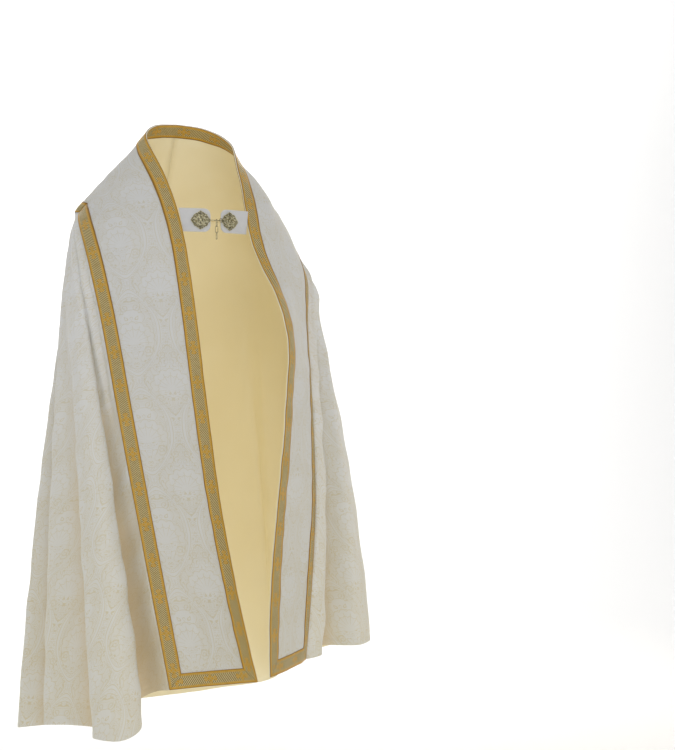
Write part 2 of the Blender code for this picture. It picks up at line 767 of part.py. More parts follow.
PLATE_TIP = {}
for side, inner, sign, stop in (("right", INNER_RIGHT, -1.0, 0.0138), ("left", INNER_LEFT, 1.0, 0.0128)):
    edge_line = dense(inner)
    marks = []
    for dz in (-TAB_HALF_HEIGHT, 0.0, TAB_HALF_HEIGHT):
        order = edge_line[:, 2] < 0.0
        part = edge_line[order]
        marks.append(np.array([np.interp(-(CLASP[2] + dz), -part[:, 2], part[:, k]) for k in range(3)]))
    free_end = np.array([CLASP[0] + sign * stop, CLASP[1] + 0.0050, CLASP[2]])
    tab = frame_of(marks[1], free_end - marks[1], np.array([0.0, 0.0, 1.0]))
    reach = float(np.linalg.norm(free_end - marks[1]))
    starts = [float(np.dot(m - marks[1], tab[1])) + 0.0022 for m in (marks[0], marks[2])]
    shape = tab_outline(reach, starts[0], starts[1])
    half = TAB_THICK / 2.0
    stack("tab_" + side, tab, [(-half, shape), (half, shape)], PLAIN)
    middle = reach - 0.0015 - PLATE_LENGTH / 2.0
    low = half + LAYER_GAP
    stack("plate_" + side, tab, [
        (low, leaf_outline(1.0, middle)),
        (low + PLATE_THICK * 0.6, leaf_outline(1.0, middle)),
        (low + PLATE_THICK, leaf_outline(0.80, middle)),
    ], BRASS)
    PLATE_TIP[side] = (tab, middle, low + PLATE_THICK)

hook_root = place(PLATE_TIP["right"][0], PLATE_TIP["right"][1] + 0.008, 0.0,
                  PLATE_TIP["right"][2] + HOOK_WIRE + LAYER_GAP)
yc = CLASP[1] - 0.0006
zc = CLASP[2]
wire("hook", [
    hook_root,
    (CLASP[0] - 0.0125, yc + 0.0002, zc),
    (CLASP[0] - 0.006, yc, zc),
    (CLASP[0] + 0.0065, yc, zc),
    (CLASP[0] + 0.0092, yc - 0.0012, zc),
    (CLASP[0] + 0.0104, yc - 0.0038, zc),
    (CLASP[0] + 0.0094, yc - 0.0064, zc),
    (CLASP[0] + 0.0070, yc - 0.0078, zc),
], HOOK_WIRE, BRASS)
eye_root = place(PLATE_TIP["left"][0], PLATE_TIP["left"][1] + 0.010, 0.0,
                 PLATE_TIP["left"][2] + WIRE + LAYER_GAP)
eye = []
for x, y, z in ((0.0058, yc - 0.0039, 0.0), (0.0064, yc - 0.0039, 0.0026), (0.0088, yc - 0.0039, 0.0042),
                (0.0150, yc - 0.0036, 0.0042), (eye_root[0] - CLASP[0] - 0.002, eye_root[1], 0.0034),
                (eye_root[0] - CLASP[0], eye_root[1], 0.0)):
    eye.append((CLASP[0] + x, y, zc + z))
eye += [(x, y, 2.0 * zc - z) for x, y, z in eye[-2:0:-1]]
wire("eye", eye, WIRE, BRASS, closed=True)


def link_loop(centre, flat_in_x):
    """Long loop of one chain link, standing upright."""
    half = LINK_WIDTH / 2.0 - WIRE
    rise = LINK_LENGTH / 2.0 - WIRE - half
    loop = []
    for k in range(9):
        turn = math.pi * k / 8
        loop.append((half * math.cos(turn), rise + half * math.sin(turn)))
    loop += [(-a, -b) for a, b in loop]
    out = []
    for a, b in loop:
        if flat_in_x:
            out.append((centre[0] + a, centre[1], centre[2] + b))
        else:
            out.append((centre[0], centre[1] + a, centre[2] + b))
    return out


first_z = zc + HOOK_WIRE + LINK_PLAY - (LINK_LENGTH / 2.0 - 2.0 * WIRE)
pitch = LINK_LENGTH - 4.0 * WIRE - LINK_PLAY
for number in range(3):
    centre = (CLASP[0], yc, first_z - pitch * number)
    wire("link_%d" % (number + 1), link_loop(centre, number == 1), WIRE, BRASS, closed=True)
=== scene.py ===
"""Looks of the cope: cream damask, gold galloons, a fringed hood and a chained clasp."""
import math

import bpy
import numpy as np
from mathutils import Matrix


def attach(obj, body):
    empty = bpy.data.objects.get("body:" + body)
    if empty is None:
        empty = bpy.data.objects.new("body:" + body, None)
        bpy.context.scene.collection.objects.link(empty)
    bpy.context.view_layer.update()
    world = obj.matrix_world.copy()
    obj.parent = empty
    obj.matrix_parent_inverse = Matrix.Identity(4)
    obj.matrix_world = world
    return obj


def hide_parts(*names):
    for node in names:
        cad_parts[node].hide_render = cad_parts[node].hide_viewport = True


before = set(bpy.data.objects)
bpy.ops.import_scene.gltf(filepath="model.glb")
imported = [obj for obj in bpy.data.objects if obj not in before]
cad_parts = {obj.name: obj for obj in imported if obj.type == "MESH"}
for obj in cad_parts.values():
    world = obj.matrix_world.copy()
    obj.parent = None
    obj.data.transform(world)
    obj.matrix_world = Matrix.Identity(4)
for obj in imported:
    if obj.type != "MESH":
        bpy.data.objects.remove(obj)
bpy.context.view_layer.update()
RNG = np.random.default_rng(7)

# ---------------------------------------------------------------- driving sizes
WALL = 0.0012             # thickness of each cloth wall
LAYER_GAP = 0.0003        # air between two layers
GALLOON_WIDTH = 0.034
GALLOON_THICK = 0.0010
HOOD_HALF_WIDTH = 0.229
HOOD_STRAIGHT = 0.300     # straight part of the hood's sides
HOOD_ROUND = 0.230        # depth of its round bottom
HOOD_STAND = 0.0070       # the hood stands this far off the back
FRINGE_BOTTOM = 0.045
FRINGE_SIDE = 0.027
KNEE_Z = -0.380           # the folds open below this height
EDGE_REACH = 0.16         # share of the hem next to each front that follows the front's own line
FOLD_EARLY = 0.65         # how much sooner the folds deepen than the cope widens
RIGHT_BOW = 0.26          # how far the sides round out between the shoulder and the hem
LEFT_BOW = 0.46
FRONT_BULGE = 0.009       # how far the band is rounded out on the fronts,
SHOULDER_BULGE = 0.034    # over the shoulders
YOKE_BULGE = 0.016        # and at the centre back
TURN_Z = -0.075           # height on the inner edge where the front becomes the neck
YOKE_Z = -0.172           # lower edge of the yoke at the centre back
CENTRE = 0.505            # where the back seam lies along the yoke's lower edge
TAB_HALF_HEIGHT = 0.0285
TAB_THICK = 0.0024
TAB_CORNER = 0.016
CLASP = (0.0068, -0.1530, -0.2095)
PLATE_LENGTH = 0.046
PLATE_HEIGHT = 0.043

# edges of the two fronts, each row a point from the neck down to the hem
INNER_RIGHT = (
    # x, y, z
    (0.000, 0.085, 0.058),
    (-0.070, 0.060, 0.046),
    (-0.118, 0.000, 0.008),
    (-0.108, -0.050, -0.055),
    (-0.092, -0.090, -0.120),
    (-0.081, -0.125, -0.195),
    (-0.073, -0.145, -0.260),
    (-0.057, -0.185, -0.460),
    (-0.045, -0.225, -0.680),
    (-0.030, -0.265, -0.895),
    (-0.012, -0.305, -1.065),
    (0.022, -0.360, -1.295),
)
INNER_LEFT = (
    (0.000, 0.085, 0.058),
    (0.070, 0.060, 0.046),
    (0.112, 0.000, 0.005),
    (0.107, -0.050, -0.060),
    (0.103, -0.090, -0.120),
    (0.098, -0.125, -0.185),
    (0.097, -0.147, -0.240),
    (0.111, -0.168, -0.300),
    (0.140, -0.215, -0.400),
    (0.150, -0.255, -0.510),
    (0.132, -0.285, -0.630),
    (0.092, -0.325, -0.875),
    (0.057, -0.358, -1.065),
    (0.026, -0.420, -1.275),
)
OUTER_RIGHT = (
    (-0.262, 0.074, -0.181),
    (-0.280, 0.034, -0.198),
    (-0.289, -0.004, -0.226),
    (-0.290, -0.036, -0.265),
    (-0.284, -0.070, -0.335),
    (-0.268, -0.105, -0.460),
    (-0.255, -0.185, -0.680),
    (-0.240, -0.262, -0.895),
    (-0.225, -0.325, -1.080),
    (-0.205, -0.388, -1.290),
)
OUTER_LEFT = (
    (0.280, 0.090, -0.200),
    (0.295, 0.058, -0.228),
    (0.304, 0.018, -0.268),
    (0.308, -0.034, -0.335),
    (0.294, -0.067, -0.460),
    (0.280, -0.124, -0.680),
    (0.258, -0.183, -0.895),
    (0.228, -0.225, -1.080),
    (0.186, -0.275, -1.267),
)
# level sections of the shoulders
SECTIONS = (
    # z, right half width, left half width, y right, y left, back, flat right, flat left, drop
    (-0.170, 0.265, 0.272, 0.065, 0.085, 0.180, 0.200, 0.200, 0.028),
    (-0.215, 0.286, 0.291, 0.050, 0.075, 0.188, 0.215, 0.218, 0.028),
    (-0.290, 0.300, 0.318, 0.030, 0.010, 0.196, 0.228, 0.236, 0.028),
    (-0.380, 0.314, 0.348, 0.020, -0.022, 0.205, 0.240, 0.252, 0.027),
)
# lines of the folds, right front round the back to left front
FOLDS = (
    # name, place along the shoulder section, hem x, hem y, hem z
    ("right front valley", 0.022, -0.220, -0.322, -1.306),
    ("right front valley end", 0.036, -0.244, -0.304, -1.324),
    ("great fold inner side", 0.054, -0.266, -0.388, -1.372),
    ("great fold crest", 0.072, -0.315, -0.408, -1.388),
    ("great fold outer side", 0.092, -0.360, -0.340, -1.392),
    ("valley behind great fold", 0.120, -0.300, -0.190, -1.400),
    ("middle fold front", 0.145, -0.345, -0.105, -1.405),
    ("middle fold crest", 0.168, -0.388, -0.040, -1.412),
    ("valley behind middle fold", 0.190, -0.330, 0.020, -1.425),
    ("back fold crest", 0.215, -0.412, 0.090, -1.440),
    ("valley before back panel", 0.250, -0.300, 0.185, -1.450),
    ("right corner of back", 0.300, -0.318, 0.288, -1.468),
    ("right half of back", 0.400, -0.180, 0.318, -1.452),
    ("back seam", CENTRE, 0.000, 0.306, -1.438),
    ("left half of back", 0.610, 0.200, 0.316, -1.434),
    ("left corner of back", 0.705, 0.362, 0.282, -1.412),
    ("valley beside back panel", 0.760, 0.320, 0.160, -1.345),
    ("arm fold back", 0.830, 0.440, 0.090, -1.300),
    ("arm fold side", 0.895, 0.482, -0.040, -1.268),
    ("arm fold front", 0.935, 0.390, -0.165, -1.262),
    ("valley behind left front", 0.960, 0.285, -0.105, -1.264),
    ("strip beside left front", 0.982, 0.250, -0.240, -1.266),
)

# ---------------------------------------------------------------- curves
def spline(stations, rows, query):
    """Smooth curve through the rows, read at the query stations."""
    stations = np.asarray(stations, float)
    rows = np.asarray(rows, float)
    count = len(stations)
    step = np.diff(stations)
    slope = np.diff(rows, axis=0) / step[:, None]
    tangent = np.zeros_like(rows)
    for i in range(1, count - 1):
        share = step[i] / (step[i - 1] + step[i])
        tangent[i] = share * slope[i - 1] + (1.0 - share) * slope[i]
    tangent[0] = 1.5 * slope[0] - 0.5 * tangent[1]
    tangent[-1] = 1.5 * slope[-1] - 0.5 * tangent[-2]
    query = np.clip(np.atleast_1d(np.asarray(query, float)), stations[0], stations[-1])
    k = np.clip(np.searchsorted(stations, query, side="right") - 1, 0, count - 2)
    width = step[k]
    x = (query - stations[k]) / width
    x2 = x * x
    x3 = x2 * x
    a = (2.0 * x3 - 3.0 * x2 + 1.0)[:, None]
    b = ((x3 - 2.0 * x2 + x) * width)[:, None]
    c = (3.0 * x2 - 2.0 * x3)[:, None]
    d = ((x3 - x2) * width)[:, None]
    return a * rows[k] + b * tangent[k] + c * rows[k + 1] + d * tangent[k + 1]


def chord(rows, power=0.5):
    """Stations for a curve, spaced by the distance between its points."""
    gaps = np.linalg.norm(np.diff(np.asarray(rows, float), axis=0), axis=1) ** power
    return np.concatenate([[0.0], np.cumsum(gaps)])


def dense(rows, count=400, power=0.5):
    """Many points along the curve through the rows."""
    stations = chord(rows, power)
    return spline(stations, rows, np.linspace(0.0, stations[-1], count))


def lengths(curve):
    """Running length along a dense curve."""
    gaps = np.linalg.norm(np.diff(curve, axis=0), axis=1)
    return np.concatenate([[0.0], np.cumsum(gaps)])


def by_length(curve, distance):
    """Points at the given distances along a dense curve."""
    run = lengths(curve)
    return np.stack([np.interp(distance, run, curve[:, k]) for k in range(curve.shape[1])], axis=1)


def by_share(curve, share):
    """Points at the given shares of a dense curve's length."""
    return by_length(curve, np.asarray(share, float) * lengths(curve)[-1])


EDGE_R = dense(OUTER_RIGHT)
EDGE_L = dense(OUTER_LEFT)


def edge_at(curve, z):
    """x and y of a front's outer edge at height z."""
    return np.array([np.interp(-z, -curve[:, 2], curve[:, 0]), np.interp(-z, -curve[:, 2], curve[:, 1])])


# ---------------------------------------------------------------- form of the cope
def shoulder_section(z):
    """Level curve round the shoulders at height z, right front to left front."""
    heights = [-row[0] for row in SECTIONS]
    row = spline(heights, [r[1:] for r in SECTIONS], [-z])[0]
    right, left, y_right, y_left, back, flat_right, flat_left, drop = row
    start = edge_at(EDGE_R, z)
    end = edge_at(EDGE_L, z)
    points = [
        (start[0], start[1]),
        (-right, y_right),
        (-(right + flat_right) / 2.0 - 0.008, (y_right + back - drop) / 2.0 + 0.018),
        (-flat_right * 0.9, back - drop),
        (-flat_right * 0.45, back - drop * 0.18),
        (0.0, back),
        (flat_left * 0.45, back - drop * 0.18),
        (flat_left * 0.9, back - drop),
        ((left + flat_left) / 2.0 + 0.008, (y_left + back - drop) / 2.0 + 0.022),
        (left, y_left),
        (end[0], end[1]),
    ]
    for side in (1, -2):
        x, y = points[side]
        points[side] = (x, max(y, points[side - 1 if side == 1 else side + 1][1] + 0.018))
    curve = dense(points, 241, 0.6)
    middle = int(np.argmax(curve[:, 0] > 0.0))
    return curve[:middle + 1], curve[middle:]


HEM = [OUTER_RIGHT[-1]] + [f[2:5] for f in FOLDS] + [OUTER_LEFT[-1]]
HEM_AT = chord(HEM, 0.75)
HEM_AT = HEM_AT / HEM_AT[-1]
UPPER_AT = [0.0] + [f[1] for f in FOLDS] + [1.0]
SEAM_U = HEM_AT[1 + [f[0] for f in FOLDS].index("back seam")]


def yoke_edge_z(share):
    """Height of the yoke's lower edge, by share from the right shoulder to the left one."""
    share = np.asarray(share, float)
    away = np.clip(np.abs(share - CENTRE) / 0.5, 0.0, 1.0)
    side = np.where(share < CENTRE, OUTER_RIGHT[0][2], OUTER_LEFT[0][2])
    return YOKE_Z + (side - YOKE_Z) * away ** 2.6


def hem_run():
    """General run of the hem without its folds, for many places round it."""
    places = np.linspace(0.0, 1.0, 601)
    line = spline(HEM_AT, HEM, places)[:, :2]
    reach = 42
    wide = np.concatenate([np.repeat(line[:1], reach, axis=0), line, np.repeat(line[-1:], reach, axis=0)])
    total = np.concatenate([np.zeros((1, 2)), np.cumsum(wide, axis=0)])
    mean = (total[2 * reach + 1:] - total[:-2 * reach - 1]) / (2 * reach + 1)
    keep = np.clip(np.minimum(places, 1.0 - places) / 0.08, 0.0, 1.0)[:, None]
    return places, line + (mean - line) * keep


RUN_AT, RUN = hem_run()


def fold_growth(fall):
    """How much of a fold's depth stands at a share of the way down to the hem."""
    return fall * (1.0 + FOLD_EARLY * (1.0 - fall))


# ---------------------------------------------------------------- fine surface of the body
ROWS_DOWN = 150           # rows of the fine body
COLS_ROUND = 330          # columns of the fine body
HEM_TURN = 0.0135         # depth of the stitched turn along the hem
# soft ridges and troughs laid over the folds; u runs round the hem from the right front,
# v down from the yoke, both 0 to 1; widths and heights in metres
CREASES = (
    # u top, v top, u low, v low, half width, height
    (0.016, 0.00, 0.020, 0.52, 0.010, -0.0065),
    (0.040, 0.00, 0.030, 0.46, 0.011, 0.0050),
    (0.066, 0.00, 0.052, 0.40, 0.010, -0.0050),
    (0.100, 0.02, 0.085, 0.62, 0.016, 0.0040),
    (0.150, 0.03, 0.128, 0.95, 0.018, -0.0045),
    (0.190, 0.02, 0.172, 0.85, 0.022, 0.0050),
    (0.232, 0.05, 0.236, 1.00, 0.020, -0.0045),
    (0.275, 0.04, 0.290, 0.75, 0.016, 0.0035),
    (0.330, 0.03, 0.325, 1.00, 0.026, -0.0050),
    (0.392, 0.40, 0.380, 1.00, 0.034, 0.0050),
    (0.445, 0.46, 0.440, 1.00, 0.030, -0.0035),
    (0.545, 0.46, 0.560, 1.00, 0.032, -0.0040),
    (0.600, 0.42, 0.622, 1.00, 0.030, 0.0045),
    (0.655, 0.30, 0.668, 0.95, 0.022, -0.0035),
    (0.700, 0.04, 0.716, 0.80, 0.018, 0.0040),
    (0.745, 0.02, 0.760, 1.00, 0.020, -0.0045),
    (0.800, 0.02, 0.812, 0.90, 0.024, 0.0045),
    (0.850, 0.02, 0.862, 1.00, 0.020, -0.0050),
    (0.900, 0.02, 0.905, 0.80, 0.016, 0.0040),
    (0.940, 0.02, 0.938, 0.60, 0.012, -0.0050),
    (0.972, 0.00, 0.968, 0.45, 0.009, 0.0045),
)


def soft(x, low, high):
    """Smooth step from 0 at low to 1 at high."""
    t = np.clip((np.asarray(x, float) - low) / (high - low), 0.0, 1.0)
    return t * t * (3.0 - 2.0 * t)


def sections_at(share, levels):
    """x and y round the shoulders for every level and share."""
    out = np.zeros((len(levels), len(share), 2))
    right = share <= CENTRE
    for k, z in enumerate(levels):
        first, second = shoulder_section(z)
        out[k, right] = by_share(first, share[right] / CENTRE)
        out[k, ~right] = by_share(second, (share[~right] - CENTRE) / (1.0 - CENTRE))
    return out


def body_surface(us, vs):
    """Points of the body at every row v and column u."""
    us = np.asarray(us, float)
    vs = np.asarray(vs, float)
    share = np.clip(spline(HEM_AT, [[s] for s in UPPER_AT], us)[:, 0], 0.0, 1.0)
    hem = spline(HEM_AT, HEM, us)
    top = yoke_edge_z(share)
    z = top[None, :] + (hem[:, 2] - top)[None, :] * vs[:, None]
    levels = np.linspace(float(top.max()) + 0.001, KNEE_Z, 36)
    table = sections_at(share, levels)
    x = np.zeros_like(z)
    y = np.zeros_like(z)
    for i in range(len(us)):
        x[:, i] = np.interp(-z[:, i], -levels, table[:, i, 0])
        y[:, i] = np.interp(-z[:, i], -levels, table[:, i, 1])
    fall = np.clip((KNEE_Z - z) / (KNEE_Z - hem[:, 2])[None, :], 0.0, None)
    bow = RIGHT_BOW * np.exp(-((share - 0.16) / 0.13) ** 2) + LEFT_BOW * np.exp(-((share - 0.90) / 0.10) ** 2)
    fall = fall + bow[None, :] * fall * (1.0 - fall)
    run_x = np.interp(us, RUN_AT, RUN[:, 0])
    run_y = np.interp(us, RUN_AT, RUN[:, 1])
    grown = fold_growth(fall)
    low_x = table[-1, :, 0] * (1.0 - fall) + run_x * fall + (hem[:, 0] - run_x) * grown
    low_y = table[-1, :, 1] * (1.0 - fall) + run_y * fall + (hem[:, 1] - run_y) * grown
    below = z < KNEE_Z
    for curve, rows, near in ((EDGE_R, OUTER_RIGHT, us), (EDGE_L, OUTER_LEFT, 1.0 - us)):
        weight = np.clip(1.0 - near / EDGE_REACH, 0.0, None) ** 1.5
        run = (KNEE_Z - z) / (KNEE_Z - rows[-1][2])
        knee = edge_at(curve, KNEE_Z)
        edge_x = np.interp(-z, -curve[:, 2], curve[:, 0])
        edge_y = np.interp(-z, -curve[:, 2], curve[:, 1])
        low_x = low_x + (edge_x - knee[0] * (1.0 - run) - rows[-1][0] * run) * weight[None, :]
        low_y = low_y + (edge_y - knee[1] * (1.0 - run) - rows[-1][1] * run) * weight[None, :]
    x = np.where(below, low_x, x)
    y = np.where(below, low_y, y)
    points = np.stack([x, y, z], axis=2)
    for curve, column in ((EDGE_R, 0), (EDGE_L, -1)):
        points[:, column, 0] = np.interp(-z[:, column], -curve[:, 2], curve[:, 0])
        points[:, column, 1] = np.interp(-z[:, column], -curve[:, 2], curve[:, 1])
    return points


def grid_normals(points):
    """Outward normals of a grid of points."""
    across = np.gradient(points, axis=1)
    down = np.gradient(points, axis=0)
    normal = np.cross(down, across)
    size = np.linalg.norm(normal, axis=2, keepdims=True)
    return -normal / np.maximum(size, 1e-12)


def blur(values, reach, axis=0):
    """Running mean along one axis, edges repeated."""
    pad = [(0, 0)] * values.ndim
    pad[axis] = (reach, reach)
    wide = np.pad(values, pad, mode="edge")
    total = np.cumsum(wide, axis=axis)
    zero = np.zeros_like(np.take(total, [0], axis=axis))
    total = np.concatenate([zero, total], axis=axis)
    count = values.shape[axis]
    ahead = np.take(total, range(2 * reach + 1, 2 * reach + 1 + count), axis=axis)
    behind = np.take(total, range(0, count), axis=axis)
    return (ahead - behind) / (2 * reach + 1)


def travelled(points, axis):
    """Distance along one axis of a grid of points, from its first line."""
    steps = np.linalg.norm(np.diff(points, axis=axis), axis=2)
    start = np.zeros_like(np.take(steps, [0], axis=axis))
    return np.concatenate([start, np.cumsum(steps, axis=axis)], axis=axis)


def ripples(a, b, size, seed):
    """Soft uneven swell over two lengths in metres, about -1 to 1."""
    rng = np.random.default_rng(seed)
    total = 0.0
    for _ in range(7):
        turn = rng.uniform(0.0, math.pi)
        wave = size * rng.uniform(0.7, 1.6)
        phase = rng.uniform(0.0, 2.0 * math.pi)
        total = total + np.sin(2.0 * math.pi * (a * math.cos(turn) + b * math.sin(turn)) / wave + phase)
    return total / 3.2


hem_rows = [1.0 - d / 1.2 for d in (HEM_TURN + 0.0022, HEM_TURN + 0.0008, HEM_TURN - 0.0008,
                                     HEM_TURN - 0.0025, 0.006, 0.0015, 0.0)]
ROW_PLACES = np.concatenate([np.linspace(0.0, hem_rows[0] - 0.006, ROWS_DOWN), hem_rows])


def fine_columns():
    """Columns evenly spread round the hem, with one on the back seam."""
    line = spline(HEM_AT, HEM, np.linspace(0.0, 1.0, 2001))
    run = lengths(line)
    seam = np.interp(SEAM_U, np.linspace(0.0, 1.0, 2001), run)
    first = int(round(COLS_ROUND * seam / run[-1]))
    spots = np.concatenate([np.linspace(0.0, seam, first + 1),
                            np.linspace(seam, run[-1], COLS_ROUND - first + 1)[1:]])
    return np.interp(spots, run, np.linspace(0.0, 1.0, 2001)), first


COL_PLACES, SEAM = fine_columns()
BODY = body_surface(COL_PLACES, ROW_PLACES)
BODY = 0.5 * BODY + 0.5 * np.concatenate(
    [BODY[:, :1], blur(BODY, 2, 1)[:, 1:-1], BODY[:, -1:]], axis=1)
ACROSS = travelled(BODY, 1)
ROW_LENGTH = ACROSS[:, -1]
ACROSS = ACROSS - ACROSS[:, SEAM][:, None]
DOWN = travelled(BODY, 0)
TO_HEM = DOWN[-1][None, :] - DOWN
u_grid = np.broadcast_to(COL_PLACES[None, :], ACROSS.shape)
v_grid = np.broadcast_to(ROW_PLACES[:, None], ACROSS.shape)

lift = np.zeros_like(ACROSS)
for number, (u_top, v_top, u_low, v_low, half, height) in enumerate(CREASES):
    line = u_top + (u_low - u_top) * np.clip((v_grid - v_top) / (v_low - v_top), 0.0, 1.2)
    line = line + 0.0022 * np.sin(v_grid * (7.0 + number % 4) + number)
    away = (u_grid - line) * ROW_LENGTH[:, None]
    fade = soft(v_grid, v_top - 0.02, v_top + 0.10) * (1.0 - soft(v_grid, v_low - 0.25, v_low + 0.02)
                                                      * (1.0 if v_low < 0.99 else 0.0))
    wide = half * (0.75 + 0.65 * v_grid)
    lift += height * fade * np.exp(-(away / wide) ** 2)
lift += 0.0016 * ripples(ACROSS, DOWN, 0.16, 3) * soft(v_grid, 0.0, 0.2)
lift += 0.0007 * ripples(ACROSS, DOWN * 0.6, 0.055, 4)
under_hood = (1.0 - soft(np.abs(ACROSS), 0.24, 0.32)) * (1.0 - soft(DOWN, 0.56, 0.66))
lift *= 1.0 - 0.8 * under_hood
edge_near = np.minimum(u_grid, 1.0 - u_grid) * ROW_LENGTH[:, None]
lift *= soft(edge_near, 0.0, 0.012) * soft(v_grid, 0.0, 0.02)
# the turn along the hem: a fine groove where it is stitched, and the doubled cloth below
lift += np.where(TO_HEM < HEM_TURN, 0.0004, 0.0) * soft(TO_HEM, -0.001, 0.004)
lift -= 0.0006 * np.exp(-((TO_HEM - HEM_TURN) / 0.0012) ** 2)
seam_dip = np.exp(-(ACROSS / 0.003) ** 2)
lift -= 0.0005 * seam_dip * (1.0 - under_hood)
BODY_N = grid_normals(BODY)
BODY = BODY + BODY_N * lift[:, :, None]
BODY_N = grid_normals(BODY)

# how far each point lies inside the general run of its row: the valleys, where the damask gets painted shade
SHADE = np.zeros_like(ACROSS)
for reach, low, high in ((30, 0.004, 0.040), (12, 0.001, 0.014)):
    inside = ((blur(BODY, reach, 1) - BODY) * BODY_N).sum(axis=2)
    SHADE = np.maximum(SHADE, soft(inside, low, high))
SHADE = blur(SHADE, 2, 1) * soft(v_grid, 0.12, 0.5)


# ---------------------------------------------------------------- fine surface of the band
ACROSS_EDGE = 6           # cells over a galloon's width
ACROSS_FIELD = 14         # cells between the two galloons
NECK_LINES = 84


def band_side(inner, column):
    """Inner points, outer points and crown heights of one half, hem to centre back."""
    outer_front = BODY[::-1, column]
    if column == 0:
        outer_back = BODY[0, :SEAM + 1]
        places = COL_PLACES[:SEAM + 1] / SEAM_U
    else:
        outer_back = BODY[0, SEAM:][::-1]
        places = (1.0 - COL_PLACES[SEAM:][::-1]) / (1.0 - SEAM_U)
    up = dense(inner, 900)[::-1]
    turn = int(np.argmax(up[:, 2] > TURN_Z))
    front = up[:turn + 1]
    neck = up[turn:]
    front_length = lengths(outer_front)[-1]
    foot = np.linspace(0.0, GALLOON_WIDTH, ACROSS_EDGE + 1)
    rest = np.linspace(GALLOON_WIDTH, front_length, 215)[1:]
    spots = np.concatenate([foot, rest])
    outer_a = by_length(outer_front, spots)
    inner_length = lengths(front)[-1]
    scale = (inner_length - GALLOON_WIDTH) / (front_length - GALLOON_WIDTH)
    inner_spots = np.where(spots <= GALLOON_WIDTH, spots, GALLOON_WIDTH + (spots - GALLOON_WIDTH) * scale)
    inner_a = by_length(front, inner_spots)
    top = outer_front[-1, 2]
    down = (top - outer_a[:, 2]) / (top - outer_front[0, 2])
    crown_a = np.interp(down, (0.0, 0.05, 0.10, 0.155, 0.215, 0.285, 0.37),
                        np.linspace(SHOULDER_BULGE, FRONT_BULGE, 7))
    half = GALLOON_WIDTH / 2.0
    back_length = lengths(outer_back)[-1]
    neck_length = lengths(neck)[-1]
    steps = np.linspace(0.0, 1.0, NECK_LINES + 1)[1:]
    back_spots = np.concatenate([steps * (back_length - half), [back_length]])
    neck_spots = np.concatenate([steps * (neck_length - half), [neck_length]])
    outer_b = by_length(outer_back, back_spots)
    inner_b = by_length(neck, neck_spots)
    place = np.interp(back_spots, lengths(outer_back), places)
    crown_b = SHOULDER_BULGE + (YOKE_BULGE - SHOULDER_BULGE) * np.clip(place, 0.0, 1.0) ** 0.7
    return np.vstack([inner_a, inner_b]), np.vstack([outer_a, outer_b]), np.concatenate([crown_a, crown_b])


TURN_LINE = 222           # line of the band, from either foot, that turns over the shoulder
CALM_REACH = 34.0         # lines on either side of it that are smoothed


def band_grid():
    """Grid of points across and along the band, hem of the right front to hem of the left."""
    right = band_side(INNER_RIGHT, 0)
    left = band_side(INNER_LEFT, -1)
    inner = np.vstack([right[0], left[0][::-1][1:]])
    outer = np.vstack([right[1], left[1][::-1][1:]])
    crown = np.concatenate([right[2], left[2][::-1][1:]])
    middle = len(right[0]) - 1
    along = np.gradient(inner, axis=0) + np.gradient(outer, axis=0)
    out = np.cross(along, outer - inner)
    out /= np.linalg.norm(out, axis=1, keepdims=True)
    out = blur(out, 4)
    out /= np.linalg.norm(out, axis=1, keepdims=True)
    crown = blur(crown, 8)
    size = np.linalg.norm(outer - inner, axis=1)
    edge = GALLOON_WIDTH / size
    rows = []
    part = np.linspace(0.0, 1.0, ACROSS_EDGE + 1)
    field = np.linspace(0.0, 1.0, ACROSS_FIELD + 1)
    for k in range(len(inner)):
        t = np.concatenate([part * edge[k], edge[k] + (1.0 - 2.0 * edge[k]) * field[1:],
                            1.0 - edge[k] + part[1:] * edge[k]])
        base = inner[k] + (outer[k] - inner[k]) * t[:, None]
        rows.append(base + out[k] * (crown[k] * 4.0 * t * (1.0 - t))[:, None])
    grid = np.array(rows)
    calm = blur(blur(grid, 9), 9)
    t = np.linspace(0.0, 1.0, grid.shape[1])
    line = np.arange(len(grid))
    near = np.exp(-((line - TURN_LINE) / CALM_REACH) ** 2)
    near = near + np.exp(-((len(grid) - 1 - line - TURN_LINE) / CALM_REACH) ** 2)
    weight = np.clip(near[:, None] * 1.2, 0.0, 1.0) * (1.0 - soft(t, 0.55, 0.93))[None, :]
    return grid + (calm - grid) * weight[:, :, None], middle


BAND, BAND_MIDDLE = band_grid()
BAND_ALONG = travelled(BAND, 0)
BAND_ACROSS = travelled(BAND, 1)
BAND_N = -grid_normals(BAND)
away_t = BAND_ACROSS / BAND_ACROSS[:, -1:]
swell = 0.0026 * ripples(BAND_ACROSS * 0.8, BAND_ALONG * 0.45, 0.13, 11)
swell += 0.0010 * ripples(BAND_ACROSS, BAND_ALONG, 0.06, 12)
BAND = BAND + BAND_N * (swell * (1.0 - soft(away_t, 0.75, 0.98)) * soft(away_t, -0.4, 0.3))[:, :, None]
BAND_N = -grid_normals(BAND)


# ---------------------------------------------------------------- meshes
def add(name, data):
    """New object of the scene with this mesh, lamp or camera."""
    obj = bpy.data.objects.new(name, data)
    bpy.context.scene.collection.objects.link(obj)
    return obj


def grid_faces(shape, mask=None):
    """Quads of a grid, or only those of the cells that the mask keeps."""
    rows, cols = shape
    j, i = np.meshgrid(np.arange(rows - 1), np.arange(cols - 1), indexing="ij")
    if mask is not None:
        j = j[mask]
        i = i[mask]
    j = j.ravel()
    i = i.ravel()
    return np.stack([j * cols + i, j * cols + i + 1, (j + 1) * cols + i + 1, (j + 1) * cols + i], axis=1)


